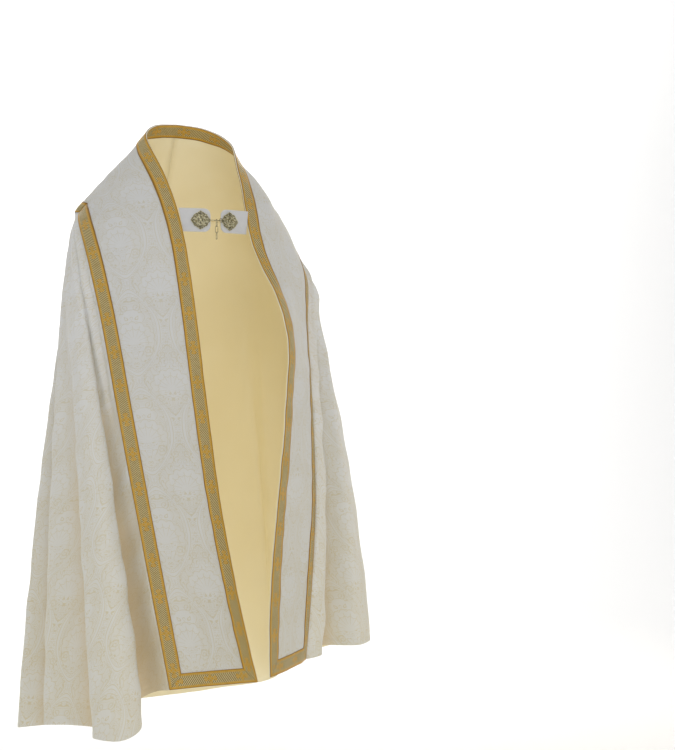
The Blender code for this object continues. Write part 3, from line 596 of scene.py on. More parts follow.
def shell(name, points, normals, uv, faces, low, high, material, floats=None, merge=False):
    """Closed thin shell between two offsets of a surface."""
    points = points.reshape(-1, 3)
    normals = normals.reshape(-1, 3)
    uv = uv.reshape(-1, 2)
    faces = [list(map(int, f)) for f in faces]
    if merge:
        first, back = np.unique(np.round(points, 5), axis=0, return_index=True, return_inverse=True)[1:]
        same = first[back.ravel()]
        faces = [[v for k, v in enumerate(f) if v != f[k - 1]] for f in (same[f].tolist() for f in faces)]
        faces = [f for f in faces if len(set(f)) == len(f) > 2]
    used = sorted({i for f in faces for i in f})
    where = np.full(len(points), -1)
    where[used] = np.arange(len(used))
    p = points[used]
    n = normals[used]
    faces = [[int(where[i]) for i in f] for f in faces]
    seen = set()
    for f in faces:
        for a, b in zip(f, f[1:] + f[:1]):
            seen.add((a, b))
    border = [e for e in seen if (e[1], e[0]) not in seen]
    border.sort()
    count = len(used)
    verts = np.vstack([p + n * high, p + n * low])
    all_faces = faces + [[i + count for i in f[::-1]] for f in faces]
    smooth = len(all_faces)
    all_faces += [[b, a, a + count, b + count] for a, b in border]
    mesh = bpy.data.meshes.new(name)
    mesh.from_pydata(verts.tolist(), [], all_faces)
    flags = np.ones(len(all_faces), bool)
    flags[smooth:] = False
    mesh.polygons.foreach_set("use_smooth", flags)
    layer = mesh.uv_layers.new(name="UVMap")
    corner = np.zeros(len(mesh.loops), np.int32)
    mesh.loops.foreach_get("vertex_index", corner)
    both = np.vstack([uv[used], uv[used]])
    layer.data.foreach_set("uv", both[corner].astype(np.float32).ravel())
    for key, values in (floats or {}).items():
        flat = np.asarray(values, np.float32).reshape(-1)[used]
        attribute = mesh.attributes.new(key, "FLOAT", "POINT")
        attribute.data.foreach_set("value", np.concatenate([flat, flat]))
    mesh.materials.append(material)
    mesh.update()
    return add(name, mesh)


class Build:
    """Mesh put together from tubes."""

    def __init__(self):
        self.verts = []
        self.faces = []

    def tube(self, points, radii, sides=8, twist=0.0, lobes=0.0):
        """Closed tube along a line of points."""
        points = np.asarray(points, float)
        radii = np.broadcast_to(np.asarray(radii, float), (len(points),))
        tangent = np.gradient(points, axis=0)
        tangent /= np.maximum(np.linalg.norm(tangent, axis=1, keepdims=True), 1e-9)
        ref = np.array([0.0, 0.0, 1.0]) if abs(tangent[0][2]) < 0.9 else np.array([1.0, 0.0, 0.0])
        first = len(self.verts)
        turn = 2.0 * math.pi * np.arange(sides) / sides
        for k in range(len(points)):
            a = np.cross(tangent[k], ref)
            a /= max(1e-9, np.linalg.norm(a))
            b = np.cross(tangent[k], a)
            ref = np.cross(a, tangent[k])
            angle = turn + twist * k
            size = radii[k] * (1.0 + lobes * np.cos(2.0 * turn))
            ring = points[k] + (np.cos(angle) * size)[:, None] * a + (np.sin(angle) * size)[:, None] * b
            self.verts.extend(ring.tolist())
        for k in range(len(points) - 1):
            for s in range(sides):
                t = (s + 1) % sides
                base = first + k * sides
                self.faces.append((base + s, base + sides + s, base + sides + t, base + t))
        last = first + (len(points) - 1) * sides
        self.faces.append(tuple(range(first, first + sides)))
        self.faces.append(tuple(range(last + sides - 1, last - 1, -1)))

    def object(self, name, material):
        mesh = bpy.data.meshes.new(name)
        mesh.from_pydata(self.verts, [], self.faces)
        mesh.polygons.foreach_set("use_smooth", np.ones(len(self.faces), bool))
        mesh.materials.append(material)
        mesh.update()
        return add(name, mesh)


# ---------------------------------------------------------------- materials
class Term:
    """Number in a material's nodes that can be added, multiplied and so on."""

    def __init__(self, shade, socket):
        self.shade = shade
        self.socket = socket

    def __add__(self, other):
        return self.shade.math("ADD", self, other)

    __radd__ = __add__

    def __sub__(self, other):
        return self.shade.math("SUBTRACT", self, other)

    def __rsub__(self, other):
        return self.shade.math("SUBTRACT", other, self)

    def __mul__(self, other):
        return self.shade.math("MULTIPLY", self, other)

    __rmul__ = __mul__

    def __truediv__(self, other):
        return self.shade.math("DIVIDE", self, other)


def toned(tone, *colour):
    """Colour made lighter or darker."""
    return tuple(part * tone for part in colour)


class Shade:
    """Principled material built from node maths."""

    def __init__(self, name, roughness=0.7, metallic=0.0, sheen=0.0, specular=0.5):
        self.mat = bpy.data.materials.new(name)
        self.mat.use_nodes = True
        self.nodes = self.mat.node_tree.nodes
        self.links = self.mat.node_tree.links
        self.bsdf = self.nodes["Principled BSDF"]
        self.bsdf.inputs["Roughness"].default_value = roughness
        self.bsdf.inputs["Metallic"].default_value = metallic
        self.bsdf.inputs["Sheen Weight"].default_value = sheen
        self.bsdf.inputs["Sheen Roughness"].default_value = 0.4
        self.bsdf.inputs["Specular IOR Level"].default_value = specular

    def put(self, value, socket):
        if isinstance(value, Term):
            self.links.new(value.socket, socket)
        else:
            socket.default_value = value

    def math(self, kind, a, b=0.0):
        node = self.nodes.new("ShaderNodeMath")
        node.operation = kind
        self.put(a, node.inputs[0])
        self.put(b, node.inputs[1])
        return Term(self, node.outputs[0])

    def step(self, value, low, high):
        node = self.nodes.new("ShaderNodeMapRange")
        node.interpolation_type = "SMOOTHSTEP"
        self.put(value, node.inputs["Value"])
        node.inputs["From Min"].default_value = low
        node.inputs["From Max"].default_value = high
        return Term(self, node.outputs["Result"])

    def line(self, value, width):
        return 1.0 - self.step(self.math("ABSOLUTE", value), width * 0.45, width)

    def fract(self, value):
        return self.math("FRACT", value)

    def most(self, *terms):
        out = terms[0]
        for term in terms[1:]:
            out = self.math("MAXIMUM", out, term)
        return out

    def uv(self):
        node = self.nodes.new("ShaderNodeTexCoord")
        cut = self.nodes.new("ShaderNodeSeparateXYZ")
        self.links.new(node.outputs["UV"], cut.inputs[0])
        return Term(self, cut.outputs[0]), Term(self, cut.outputs[1])

    def place(self):
        node = self.nodes.new("ShaderNodeTexCoord")
        cut = self.nodes.new("ShaderNodeSeparateXYZ")
        self.links.new(node.outputs["Object"], cut.inputs[0])
        return [Term(self, cut.outputs[k]) for k in range(3)]

    def noise(self, x, y, scale, z=0.0, detail=2.0, warp=0.0):
        join = self.nodes.new("ShaderNodeCombineXYZ")
        self.put(x, join.inputs[0])
        self.put(y, join.inputs[1])
        self.put(z, join.inputs[2])
        node = self.nodes.new("ShaderNodeTexNoise")
        node.inputs["Scale"].default_value = scale
        node.inputs["Detail"].default_value = detail
        node.inputs["Distortion"].default_value = warp
        self.links.new(join.outputs[0], node.inputs["Vector"])
        return Term(self, node.outputs["Fac"])

    def value(self, name):
        node = self.nodes.new("ShaderNodeAttribute")
        node.attribute_name = name
        return Term(self, node.outputs["Fac"])

    def mix(self, fac, a, b):
        node = self.nodes.new("ShaderNodeMix")
        node.data_type = "RGBA"
        self.put(fac, node.inputs["Factor"])
        for value, key in ((a, "A"), (b, "B")):
            socket = [s for s in node.inputs if s.name == key and s.type == "RGBA"][0]
            if isinstance(value, Term):
                self.links.new(value.socket, socket)
            else:
                socket.default_value = (*value, 1.0)
        return Term(self, [s for s in node.outputs if s.type == "RGBA"][0])

    def finish(self, colour, height, distance=0.001, strength=1.0, roughness=None):
        self.links.new(colour.socket, self.bsdf.inputs["Base Color"])
        if roughness is not None:
            self.links.new(roughness.socket, self.bsdf.inputs["Roughness"])
        bump = self.nodes.new("ShaderNodeBump")
        bump.inputs["Distance"].default_value = distance
        bump.inputs["Strength"].default_value = strength
        self.links.new(height.socket, bump.inputs["Height"])
        self.links.new(bump.outputs["Normal"], self.bsdf.inputs["Normal"])
        return self.mat


REPEAT_WIDE = 0.150       # one repeat of the damask
REPEAT_HIGH = 0.240
FULL = 2.0 * math.pi


def damask_figure(s, x, y):
    """Fine outlines of the damask: an ogee net, medallions with palmettes, and scrolls."""
    cos_x = s.math("COSINE", x * (FULL / REPEAT_WIDE))
    cos_y = s.math("COSINE", y * (FULL / REPEAT_HIGH))
    cos_2y = s.math("COSINE", y * (2.0 * FULL / REPEAT_HIGH))
    net = cos_x + cos_y + cos_2y * 0.22
    other = s.step(net, -0.001, 0.001)
    near_x = (s.fract(x / REPEAT_WIDE + 0.5) - 0.5) * REPEAT_WIDE
    near_y = (s.fract(y / REPEAT_HIGH + 0.5) - 0.5) * REPEAT_HIGH
    far_x = (s.fract(x / REPEAT_WIDE) - 0.5) * REPEAT_WIDE
    far_y = (s.fract(y / REPEAT_HIGH) - 0.5) * REPEAT_HIGH
    px = s.math("ABSOLUTE", near_x * other + far_x * (1.0 - other))
    py = near_y * other + far_y * (1.0 - other)
    size = s.math("ABSOLUTE", net)
    lower = py + 0.024
    fan = s.math("ARCTAN2", px, lower)
    reach = s.math("SQRT", px * px + lower * lower)
    ribs = s.math("ABSOLUTE", s.math("COSINE", fan * 7.5))
    palmette = s.line(reach - 0.046 - ribs * 0.006, 0.0013)
    palmette = s.most(palmette, s.line(reach - 0.030 - ribs * 0.004, 0.0011))
    spread = 1.0 - s.step(s.math("ABSOLUTE", fan), 1.7, 2.0)
    spokes = s.line(s.math("SINE", fan * 7.5), 0.20)
    spokes = spokes * s.step(reach, 0.010, 0.014) * (1.0 - s.step(reach, 0.040, 0.044))
    palmette = s.most(palmette, spokes) * spread
    eye_x = px - 0.030
    eye_y = py + 0.046
    eye = s.math("SQRT", eye_x * eye_x + eye_y * eye_y)
    wind = s.math("ARCTAN2", eye_y, eye_x) / FULL
    scrolls = s.line(s.fract(eye / 0.0075 + wind) - 0.5, 0.17) * (1.0 - s.step(eye, 0.0135, 0.0145))
    top_y = py - 0.062
    top_x = px - 0.014
    curl = s.math("SQRT", top_x * top_x + top_y * top_y)
    wind = s.math("ARCTAN2", top_y, top_x) / FULL
    coil = s.line(s.fract(curl / 0.0068 - wind) - 0.5, 0.17) * (1.0 - s.step(curl, 0.0110, 0.0120))
    scrolls = s.most(scrolls, coil)
    frame_line = s.most(s.line(size - 0.10, 0.026), s.line(size - 0.34, 0.026))
    bead_x = s.fract(px / 0.0090) - 0.5
    bead_y = s.fract(py / 0.0090) - 0.5
    bead = s.math("SQRT", bead_x * bead_x + bead_y * bead_y)
    beads = s.line(bead - 0.28, 0.14) * s.line(size - 0.22, 0.085)
    wild = s.noise(px, py, 34.0, z=other * 3.0, detail=1.0, warp=1.2)
    vines = s.line(s.fract(wild * 9.0) - 0.5, 0.115)
    vines = vines * s.step(size, 0.12, 0.20)
    clear = 1.0 - s.step(reach, 0.047, 0.052)
    vines = vines * (1.0 - clear * spread)
    figure = s.most(palmette * 0.8, scrolls * 0.8, frame_line * 0.9, beads * 0.35, vines)
    fill = s.step(size, 0.34, 0.36) * (1.0 - s.step(size, 1.15, 1.25))
    return figure, fill


def damask(name, shade_key=None, painted_warm_light=1.0, tone=1.0):
    """Ivory silk damask with creamy figures."""
    s = Shade(name, 0.66, sheen=0.12, specular=0.35)
    x, y = s.uv()
    figure, fill = damask_figure(s, x, y)
    where_x, where_y, where_z = s.place()
    # painted light: ground and figures turn warmer and yellower towards the bottom, standing in for warm
    # light soaking through the silk
    low = s.step(where_z * -1.0, 0.25, 1.35)
    cloud = s.noise(where_x, where_y, 5.0, z=where_z)
    ground = s.mix(low * painted_warm_light, toned(tone, 0.730, 0.735, 0.730), toned(tone, 0.750, 0.735, 0.660))
    lines = s.mix(low * painted_warm_light, toned(tone, 0.645, 0.605, 0.480), toned(tone, 0.670, 0.590, 0.370))
    ground = s.mix(fill * 0.16, ground, lines)
    colour = s.mix(figure * 0.85, ground, lines)
    colour = s.mix((cloud - 0.5) * 0.4 + 0.08, colour, (0.760, 0.735, 0.660))
    if shade_key:
        # painted shade: the troughs are darkened and tinted warm, standing in for shade and for light thrown
        # from fold to fold
        deep = s.value(shade_key)
        colour = s.mix(deep * 0.62, colour, (0.760, 0.590, 0.330))
    fine = s.noise(x, y, 1400.0, detail=1.0)
    slub = s.noise(x * 0.25, y, 260.0, detail=2.0)
    height = figure * 0.5 + fill * 0.25 + fine * 0.35 + slub * 0.35
    rough = 0.72 - figure * 0.16 - fill * 0.08
    return s.finish(colour, height, 0.0006, 0.55, rough)


def galloon(name, tone=1.0):
    """Woven gold braid: amber borders with dots, a twilled field and small florets."""
    s = Shade(name, 0.42, metallic=0.10, sheen=0.0, specular=0.5)
    a, along = s.uv()
    side = s.math("MINIMUM", a, GALLOON_WIDTH - a)
    middle = a - GALLOON_WIDTH / 2.0
    border = 1.0 - s.step(side, 0.0062, 0.0068)
    rim = 1.0 - s.step(side, 0.0008, 0.0014)
    dots = s.line(s.fract(along / 0.0052) - 0.5, 0.34) * s.line(side - 0.0058, 0.0016)
    cord = s.line(side - 0.0034, 0.0012)
    twill = s.line(s.fract((along + a) / 0.0052) - 0.5, 0.34)
    flow = (s.fract(along / 0.084) - 0.5) * 0.084
    radius = s.math("SQRT", flow * flow + middle * middle)
    turn = s.math("ARCTAN2", flow, middle)
    petals = s.math("COSINE", turn * 4.0)
    block = 1.0 - s.step(radius - petals * 0.0030, 0.0085, 0.0092)
    floret = s.line(radius - 0.0060 - petals * 0.0026, 0.0013)
    bud = s.math("ABSOLUTE", flow) - 0.0125
    bud = s.math("SQRT", bud * bud + middle * middle * 0.4)
    block = s.most(block, 1.0 - s.step(bud, 0.0034, 0.0040))
    floret = s.most(floret, s.line(bud - 0.0016, 0.0009), s.line(radius - 0.0018, 0.0010))
    field = s.mix(twill, toned(tone, 0.250, 0.165, 0.030), toned(tone, 0.950, 0.780, 0.380))
    amber = toned(tone, 0.820, 0.420, 0.010)
    straw = toned(tone, 0.740, 0.600, 0.250)
    colour = s.mix(block, field, amber)
    colour = s.mix(floret * block * 0.75, colour, straw)
    colour = s.mix(border, colour, amber)
    colour = s.mix(dots * 0.80, colour, straw)
    colour = s.mix(cord * 0.30, colour, straw)
    colour = s.mix(rim * 0.80, colour, toned(tone, 0.300, 0.150, 0.020))
    uneven = s.noise(a, along, 90.0)
    colour = s.mix(s.step(uneven, 0.45, 0.75) * 0.35, colour, toned(tone, 0.460, 0.300, 0.060))
    ribs = s.line(s.fract(along / 0.0011) - 0.5, 0.4)
    plain = (1.0 - border) * (1.0 - block)
    height = twill * 0.7 * plain + floret * block * 0.9 + border * 0.7 + dots * 0.6 + cord * 0.4 + ribs * 0.2
    rough = 0.46 - twill * 0.10
    return s.finish(colour, height, 0.0008, 0.8, rough)


THROUGH_CLOTH = 0.10      # weak glow that stands in for daylight soaking through the silk


def satin(name, colour_a, colour_b):
    """Lining satin with a faint twill."""
    s = Shade(name, 0.42, sheen=0.1, specular=0.5)
    x, y = s.uv()
    where_x, where_y, where_z = s.place()
    cloud = s.noise(where_x, where_y, 7.0, z=where_z)
    twill = s.line(s.fract((x + y * 2.0) / 0.0016) - 0.5, 0.35)
    colour = s.mix(cloud, colour_a, colour_b)
    s.bsdf.inputs["Emission Color"].default_value = (1.0, 0.82, 0.42, 1.0)
    s.bsdf.inputs["Emission Strength"].default_value = THROUGH_CLOTH
    fine = s.noise(x, y, 700.0)
    return s.finish(colour, twill * 0.3 + fine * 0.5, 0.0004, 0.5)


def plain_weave(name):
    """Plain white cloth of the clasp's tabs."""
    s = Shade(name, 0.8, sheen=0.1)
    x, y, z = s.place()
    warp = s.line(s.fract(x / 0.0009) - 0.5, 0.35)
    weft = s.line(s.fract(z / 0.0009) - 0.5, 0.35)
    cloud = s.noise(x, z, 60.0, z=y)
    colour = s.mix(cloud, (0.60, 0.60, 0.605), (0.70, 0.70, 0.70))
    return s.finish(colour, warp * 0.5 + weft * 0.5 + cloud, 0.0003, 0.6)


def bullion(name):
    """Twisted antique gold thread."""
    s = Shade(name, 0.42, metallic=0.15, specular=0.5)
    x, y, z = s.place()
    each = s.noise(x, z, 330.0, z=y, detail=1.0)
    wide = s.noise(x, z, 24.0, z=y)
    # painted highlight: random bright specks on the dark thread stand in for the glints of the twisted gold
    colour = s.mix(s.step(each, 0.35, 0.68), (0.200, 0.120, 0.040), (0.640, 0.470, 0.240))
    colour = s.mix(wide * 0.5, colour, (0.33, 0.22, 0.09))
    return s.finish(colour, each, 0.0005, 0.6)


def brass(name, tone=1.0):
    """Antique brass in uneven pale and dull patches, darker or lighter by its tone."""
    s = Shade(name, 0.36, metallic=0.55, specular=0.6)
    x, y, z = s.place()
    age = s.noise(x, z, 260.0, z=y, detail=3.0)
    fine = s.noise(x, z, 1500.0, z=y)
    dull = toned(tone, 0.340, 0.290, 0.140)
    bright = toned(tone, 0.820, 0.770, 0.540)
    colour = s.mix(s.step(age, 0.36, 0.62), dull, bright)
    rough = 0.30 + age * 0.25
    return s.finish(colour, fine + age, 0.0003, 0.4, rough)


# the body's damask darkens and warms its fold valleys as painted shade
DAMASK = damask("cope_damask", "valley")
# painted shade: the bands take a darker copy of the damask, tone 0.90, with less of the warm light painted
# towards the bottom
DAMASK_BAND = damask("band_damask", None, 0.75, 0.90)
# the hood gets half of the warm light painted towards the bottom
DAMASK_HOOD = damask("hood_damask", None, 0.5)
GALLOON = galloon("cope_galloon", 0.76)
# painted light: a lighter copy of the galloon, tone 0.80 against 0.76, for the inside of the neck, which lies
# in shade
GALLOON_INSIDE = galloon("inside_galloon", 0.80)
SATIN = satin("cope_lining", (0.84, 0.76, 0.52), (0.89, 0.83, 0.62))
PLAIN = plain_weave("tab_cloth")
FRINGE = bullion("fringe_thread")
BRASS = brass("antique_brass")
# a much darker copy of the brass for the ground under each plate's scrolls
BRASS_GROUND = brass("brass_ground", 0.30)
BRASS_WIRE = brass("brass_wire", 0.62)

# ---------------------------------------------------------------- cloth pieces
OVER = WALL + LAYER_GAP
UNDER = -LAYER_GAP - WALL
TOP = OVER + GALLOON_THICK
BODY_UV = np.stack([ACROSS, -DOWN], axis=2)
BAND_UV = np.stack([BAND_ACROSS - 0.08, BAND_ALONG], axis=2)
PIECES = {}


def dress(piece, slot, *nodes):
    """Ride on the root and stand for the CAD nodes, which are hidden; the slot is not used."""
    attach(piece, "root")
    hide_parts(*nodes)
    PIECES[piece.name] = piece
    return piece


rows, cols = BODY.shape[:2]
for side, cells in (("right", slice(0, SEAM)), ("left", slice(SEAM, cols - 1))):
    mask = np.zeros((rows - 1, cols - 1), bool)
    mask[:, cells] = True
    faces = grid_faces((rows, cols), mask)
    # the valley attribute carries the painted fold shade into the damask
    piece = shell("cope_body_" + side, BODY, BODY_N, BODY_UV, faces, 0.0, WALL, DAMASK,
                  {"valley": SHADE})
    dress(piece, "damask", "body_" + side)

row_step = np.concatenate([np.arange(0, rows - 8, 2), np.arange(rows - 8, rows)])
LINING_POINTS = BODY[row_step]
LINING_N = BODY_N[row_step]
LINING_UV = BODY_UV[row_step]
lining = shell("cope_lining", LINING_POINTS, LINING_N, LINING_UV,
               grid_faces(LINING_POINTS.shape[:2]), UNDER, -LAYER_GAP, SATIN)
dress(lining, "lining", "lining")

lines, places = BAND.shape[:2]
n = ACROSS_EDGE
last = lines - 1


def band_cells(first, final, low, high):
    """Cells of the band between two lines and two places across."""
    mask = np.zeros((lines - 1, places - 1), bool)
    mask[first:final, low:high] = True
    return grid_faces((lines, places), mask)


def mitre(foot, outer):
    """Quads and triangles of one corner square, its galloon's half and the hem's half."""
    own = []
    hem = []
    for i in range(n):
        for j in range(n):
            k = i if foot == 0 else last - i
            step = 1 if foot == 0 else -1
            m = j if not outer else places - 1 - j
            over = 1 if not outer else -1
            a = k * places + m
            b = (k + step) * places + m
            c = (k + step) * places + m + over
            d = k * places + m + over
            corner = [a, b, c, d] if step * over < 0 else [a, d, c, b]
            if i > j:
                own.append(corner)
            elif i < j:
                hem.append(corner)
            else:
                own.append([v for v in corner if v != d])
                hem.append([v for v in corner if v != b])
    return own, hem


for side, first, final in (("right", 0, BAND_MIDDLE), ("left", BAND_MIDDLE, last)):
    cells = band_cells(first, final, 0, places - 1)
    piece = shell("cope_band_" + side, BAND, BAND_N, BAND_UV, cells, 0.0, WALL, DAMASK_BAND)
    dress(piece, "damask", "orphrey_" + side)
    piece = shell("cope_facing_" + side, BAND, BAND_N, BAND_UV, cells, UNDER, -LAYER_GAP, SATIN)
    dress(piece, "lining", "facing_" + side)

INNER_UV = np.stack([BAND_ACROSS, BAND_ALONG[:, :1] + np.zeros_like(BAND_ACROSS)], axis=2)
OUTER_UV = np.stack([BAND_ACROSS[:, -1:] - BAND_ACROSS,
                     BAND_ALONG[:, -1:] + np.zeros_like(BAND_ACROSS)], axis=2)
HEM_RIGHT_UV = np.stack([BAND_ALONG, BAND_ACROSS], axis=2)
HEM_LEFT_UV = np.stack([BAND_ALONG[-1:] - BAND_ALONG, BAND_ACROSS], axis=2)

inner_cells = list(band_cells(n, last - n, 0, n))
outer_cells = list(band_cells(n, last - n, places - 1 - n, places - 1))
hem_cells = {0: list(band_cells(0, n, n, places - 1 - n)),
             1: list(band_cells(last - n, last, n, places - 1 - n))}
for foot in (0, 1):
    for outer, store in ((False, inner_cells), (True, outer_cells)):
        own, hem = mitre(foot, outer)
        store.extend(own)
        hem_cells[foot] += hem
for name, uv, cells, node in (
    ("trim_inner", INNER_UV, inner_cells, "galloon_inner"),
    ("trim_outer", OUTER_UV, outer_cells, "galloon_outer"),
    ("trim_foot_right", HEM_RIGHT_UV, hem_cells[0], "galloon_hem_right"),
    ("trim_foot_left", HEM_LEFT_UV, hem_cells[1], "galloon_hem_left"),
):
    dress(shell(name, BAND, BAND_N, uv, cells, OVER, TOP, GALLOON), "galloon", node)

# short galloon down the middle of the yoke
centre_lines = np.array([BAND_MIDDLE - 1, BAND_MIDDLE, BAND_MIDDLE + 1])
strip = []
strip_n = []
for t in np.linspace(-1.0, 1.0, 7):
    beside = BAND[centre_lines[0 if t < 0.0 else 2]]
    strip.append(BAND[centre_lines[1]] * (1.0 - abs(t)) + beside * abs(t))
    strip_n.append(BAND_N[centre_lines[1]])
STRIP = np.array(strip)[:, n:places - n]
STRIP_N = np.array(strip_n)[:, n:places - n]
strip_u = np.linspace(0.0, 1.0, 7)[:, None] * GALLOON_WIDTH + np.zeros(STRIP.shape[1])[None, :]
strip_v = np.broadcast_to(BAND_ACROSS[BAND_MIDDLE, n:places - n][None, :], strip_u.shape)
piece = shell("trim_centre_back", STRIP, STRIP_N, np.stack([strip_u, strip_v], axis=2),
              grid_faces(STRIP.shape[:2]), OVER, TOP, GALLOON)
dress(piece, "galloon", "galloon_centre_back")

# galloon inside the neck, down to the tabs
level = CLASP[2] - TAB_HALF_HEIGHT
top_right = int(np.argmax(BAND[:, 0, 2] > level)) + 6
top_left = int(last - np.argmax(BAND[::-1, 0, 2] > level)) - 6
neck_cells = band_cells(top_right, top_left, 0, n)
inside = UNDER - LAYER_GAP
piece = shell("trim_inside_neck", BAND, BAND_N, INNER_UV, neck_cells, inside - GALLOON_THICK, inside,
              GALLOON_INSIDE)
dress(piece, "galloon", "galloon_inside_neck")

# ---------------------------------------------------------------- hood
BACK_ROWS = np.arange(0, int(rows * 0.62))
BACK_RUN = ACROSS[BACK_ROWS]
BACK_DOWN = DOWN[BACK_ROWS, SEAM]
SMOOTH_BACK = blur(blur(BODY[BACK_ROWS], 5, 1), 3, 0)


def on_back(across, down, source=SMOOTH_BACK):
    """Values of a grid over the back, at distances across from the seam and down from the yoke."""
    across = np.atleast_1d(across)
    down = np.atleast_1d(down)
    spread = np.zeros((len(BACK_ROWS), len(across), 3))
    for j in range(len(BACK_ROWS)):
        for k in range(3):
            spread[j, :, k] = np.interp(across, BACK_RUN[j], source[j][:, k])
    place = np.clip(np.interp(down, BACK_DOWN, np.arange(len(BACK_DOWN))), 0.0, len(BACK_DOWN) - 1.001)
    k = place.astype(int)
    t = (place - k)[:, None]
    each = np.arange(len(across))
    return spread[k, each] * (1.0 - t) + spread[k + 1, each] * t


SMOOTH_N = blur(blur(grid_normals(SMOOTH_BACK), 4, 1), 4, 0)


HOOD_FAN = 64             # steps round the foot of the hood
HOOD_SIDE = 24            # steps down each of its straight sides


def hood_line(inset):
    """U line of the hood at a distance in from its edge: across and down from the yoke."""
    half = HOOD_HALF_WIDTH - inset
    deep = HOOD_ROUND - inset * HOOD_ROUND / HOOD_HALF_WIDTH
    out = [(-half, HOOD_STRAIGHT * k / HOOD_SIDE) for k in range(HOOD_SIDE)]
    for k in range(HOOD_FAN + 1):
        turn = math.pi * k / HOOD_FAN
        out.append((-half * math.cos(turn), HOOD_STRAIGHT + deep * math.sin(turn)))
    out += [(half, HOOD_STRAIGHT * k / HOOD_SIDE) for k in range(HOOD_SIDE - 1, -1, -1)]
    return np.array(out)


TRIM_RINGS = 6            # rings of cells under the hood's galloon
FIELD_RINGS = 29          # and from there to the middle
TUCK = 0.0006             # the hood's upper edge starts this far below the yoke
insets = np.concatenate([
    np.linspace(0.0, GALLOON_WIDTH, TRIM_RINGS + 1),
    np.linspace(GALLOON_WIDTH, HOOD_HALF_WIDTH, FIELD_RINGS + 1)[1:],
])
hood_rings = []
hood_out = []
hood_flat = []
for inset in insets:
    ring = hood_line(inset)
    hood_rings.append(on_back(-ring[:, 0], ring[:, 1] + TUCK))
    hood_out.append(on_back(-ring[:, 0], ring[:, 1] + TUCK, SMOOTH_N))
    hood_flat.append(np.stack([-ring[:, 0], ring[:, 1]], axis=1))
HOOD = np.array(hood_rings)
HOOD_FLAT = np.array(hood_flat)
HOOD_N = np.array(hood_out)
HOOD_N /= np.linalg.norm(HOOD_N, axis=2, keepdims=True)
hood_x = HOOD_FLAT[:, :, 0]
hood_down = HOOD_FLAT[:, :, 1]
hood_lift = 0.0022 * ripples(hood_x, hood_down, 0.20, 21) * soft(hood_down, 0.0, 0.1)
hood_lift += 0.0040 * np.exp(-((hood_down - 0.13 - 0.1 * hood_x) / 0.05) ** 2)
hood_lift += 0.0030 * soft(hood_down, 0.15, 0.50)
HOOD = HOOD + HOOD_N * (HOOD_STAND + hood_lift)[:, :, None]
hood_faces = grid_faces(HOOD.shape[:2])
a = HOOD[0, 1] - HOOD[0, 0]
b = HOOD[1, 0] - HOOD[0, 0]
edge_mask = np.zeros((len(insets) - 1, HOOD.shape[1] - 1), bool)
edge_mask[:TRIM_RINGS] = True
edge_faces = grid_faces(HOOD.shape[:2], edge_mask)
if np.dot(np.cross(a, b), HOOD_N[0, 0]) < 0.0:
    hood_faces = hood_faces[:, ::-1]
    edge_faces = edge_faces[:, ::-1]
hood_uv = np.stack([hood_x, -hood_down], axis=2)
hood_cloth = shell("hood_cloth", HOOD, HOOD_N, hood_uv, hood_faces, 0.0, WALL, DAMASK_HOOD, merge=True)
dress(hood_cloth, "damask", "hood")
run = lengths(HOOD[0])
edge_uv = np.stack(np.broadcast_arrays(insets[:, None], run[None, :]), axis=2)
dress(shell("hood_trim", HOOD, HOOD_N, edge_uv, edge_faces, OVER, TOP, GALLOON), "galloon", "hood_galloon")

# ---------------------------------------------------------------- fringe
STRAND_STEP = 0.0024      # from one cord to the next
FRINGE_ROOT = 0.004       # the cords start this far in under the hood's edge
STRAND_THICK = 0.0010     # radius of a cord, and of its tip
STRAND_TIP = 0.0007
fringe = Build()
edge_flat = HOOD_FLAT[0]
edge_run = lengths(edge_flat)
spots = np.arange(0.004, edge_run[-1] - 0.004, STRAND_STEP)
flat_spots = np.stack([np.interp(spots, edge_run, edge_flat[:, k]) for k in range(2)], axis=1)
ahead = np.stack([np.interp(spots + 0.002, edge_run, edge_flat[:, k]) for k in range(2)], axis=1)
along_dir = (ahead - flat_spots) / np.linalg.norm(ahead - flat_spots, axis=1, keepdims=True)
out_dir = np.stack([along_dir[:, 1], -along_dir[:, 0]], axis=1)
centre_flat = np.array([0.0, HOOD_STRAIGHT])
wrong = ((flat_spots - centre_flat) * out_dir).sum(axis=1) < 0.0
out_dir[wrong] *= -1.0
RINGS = 8
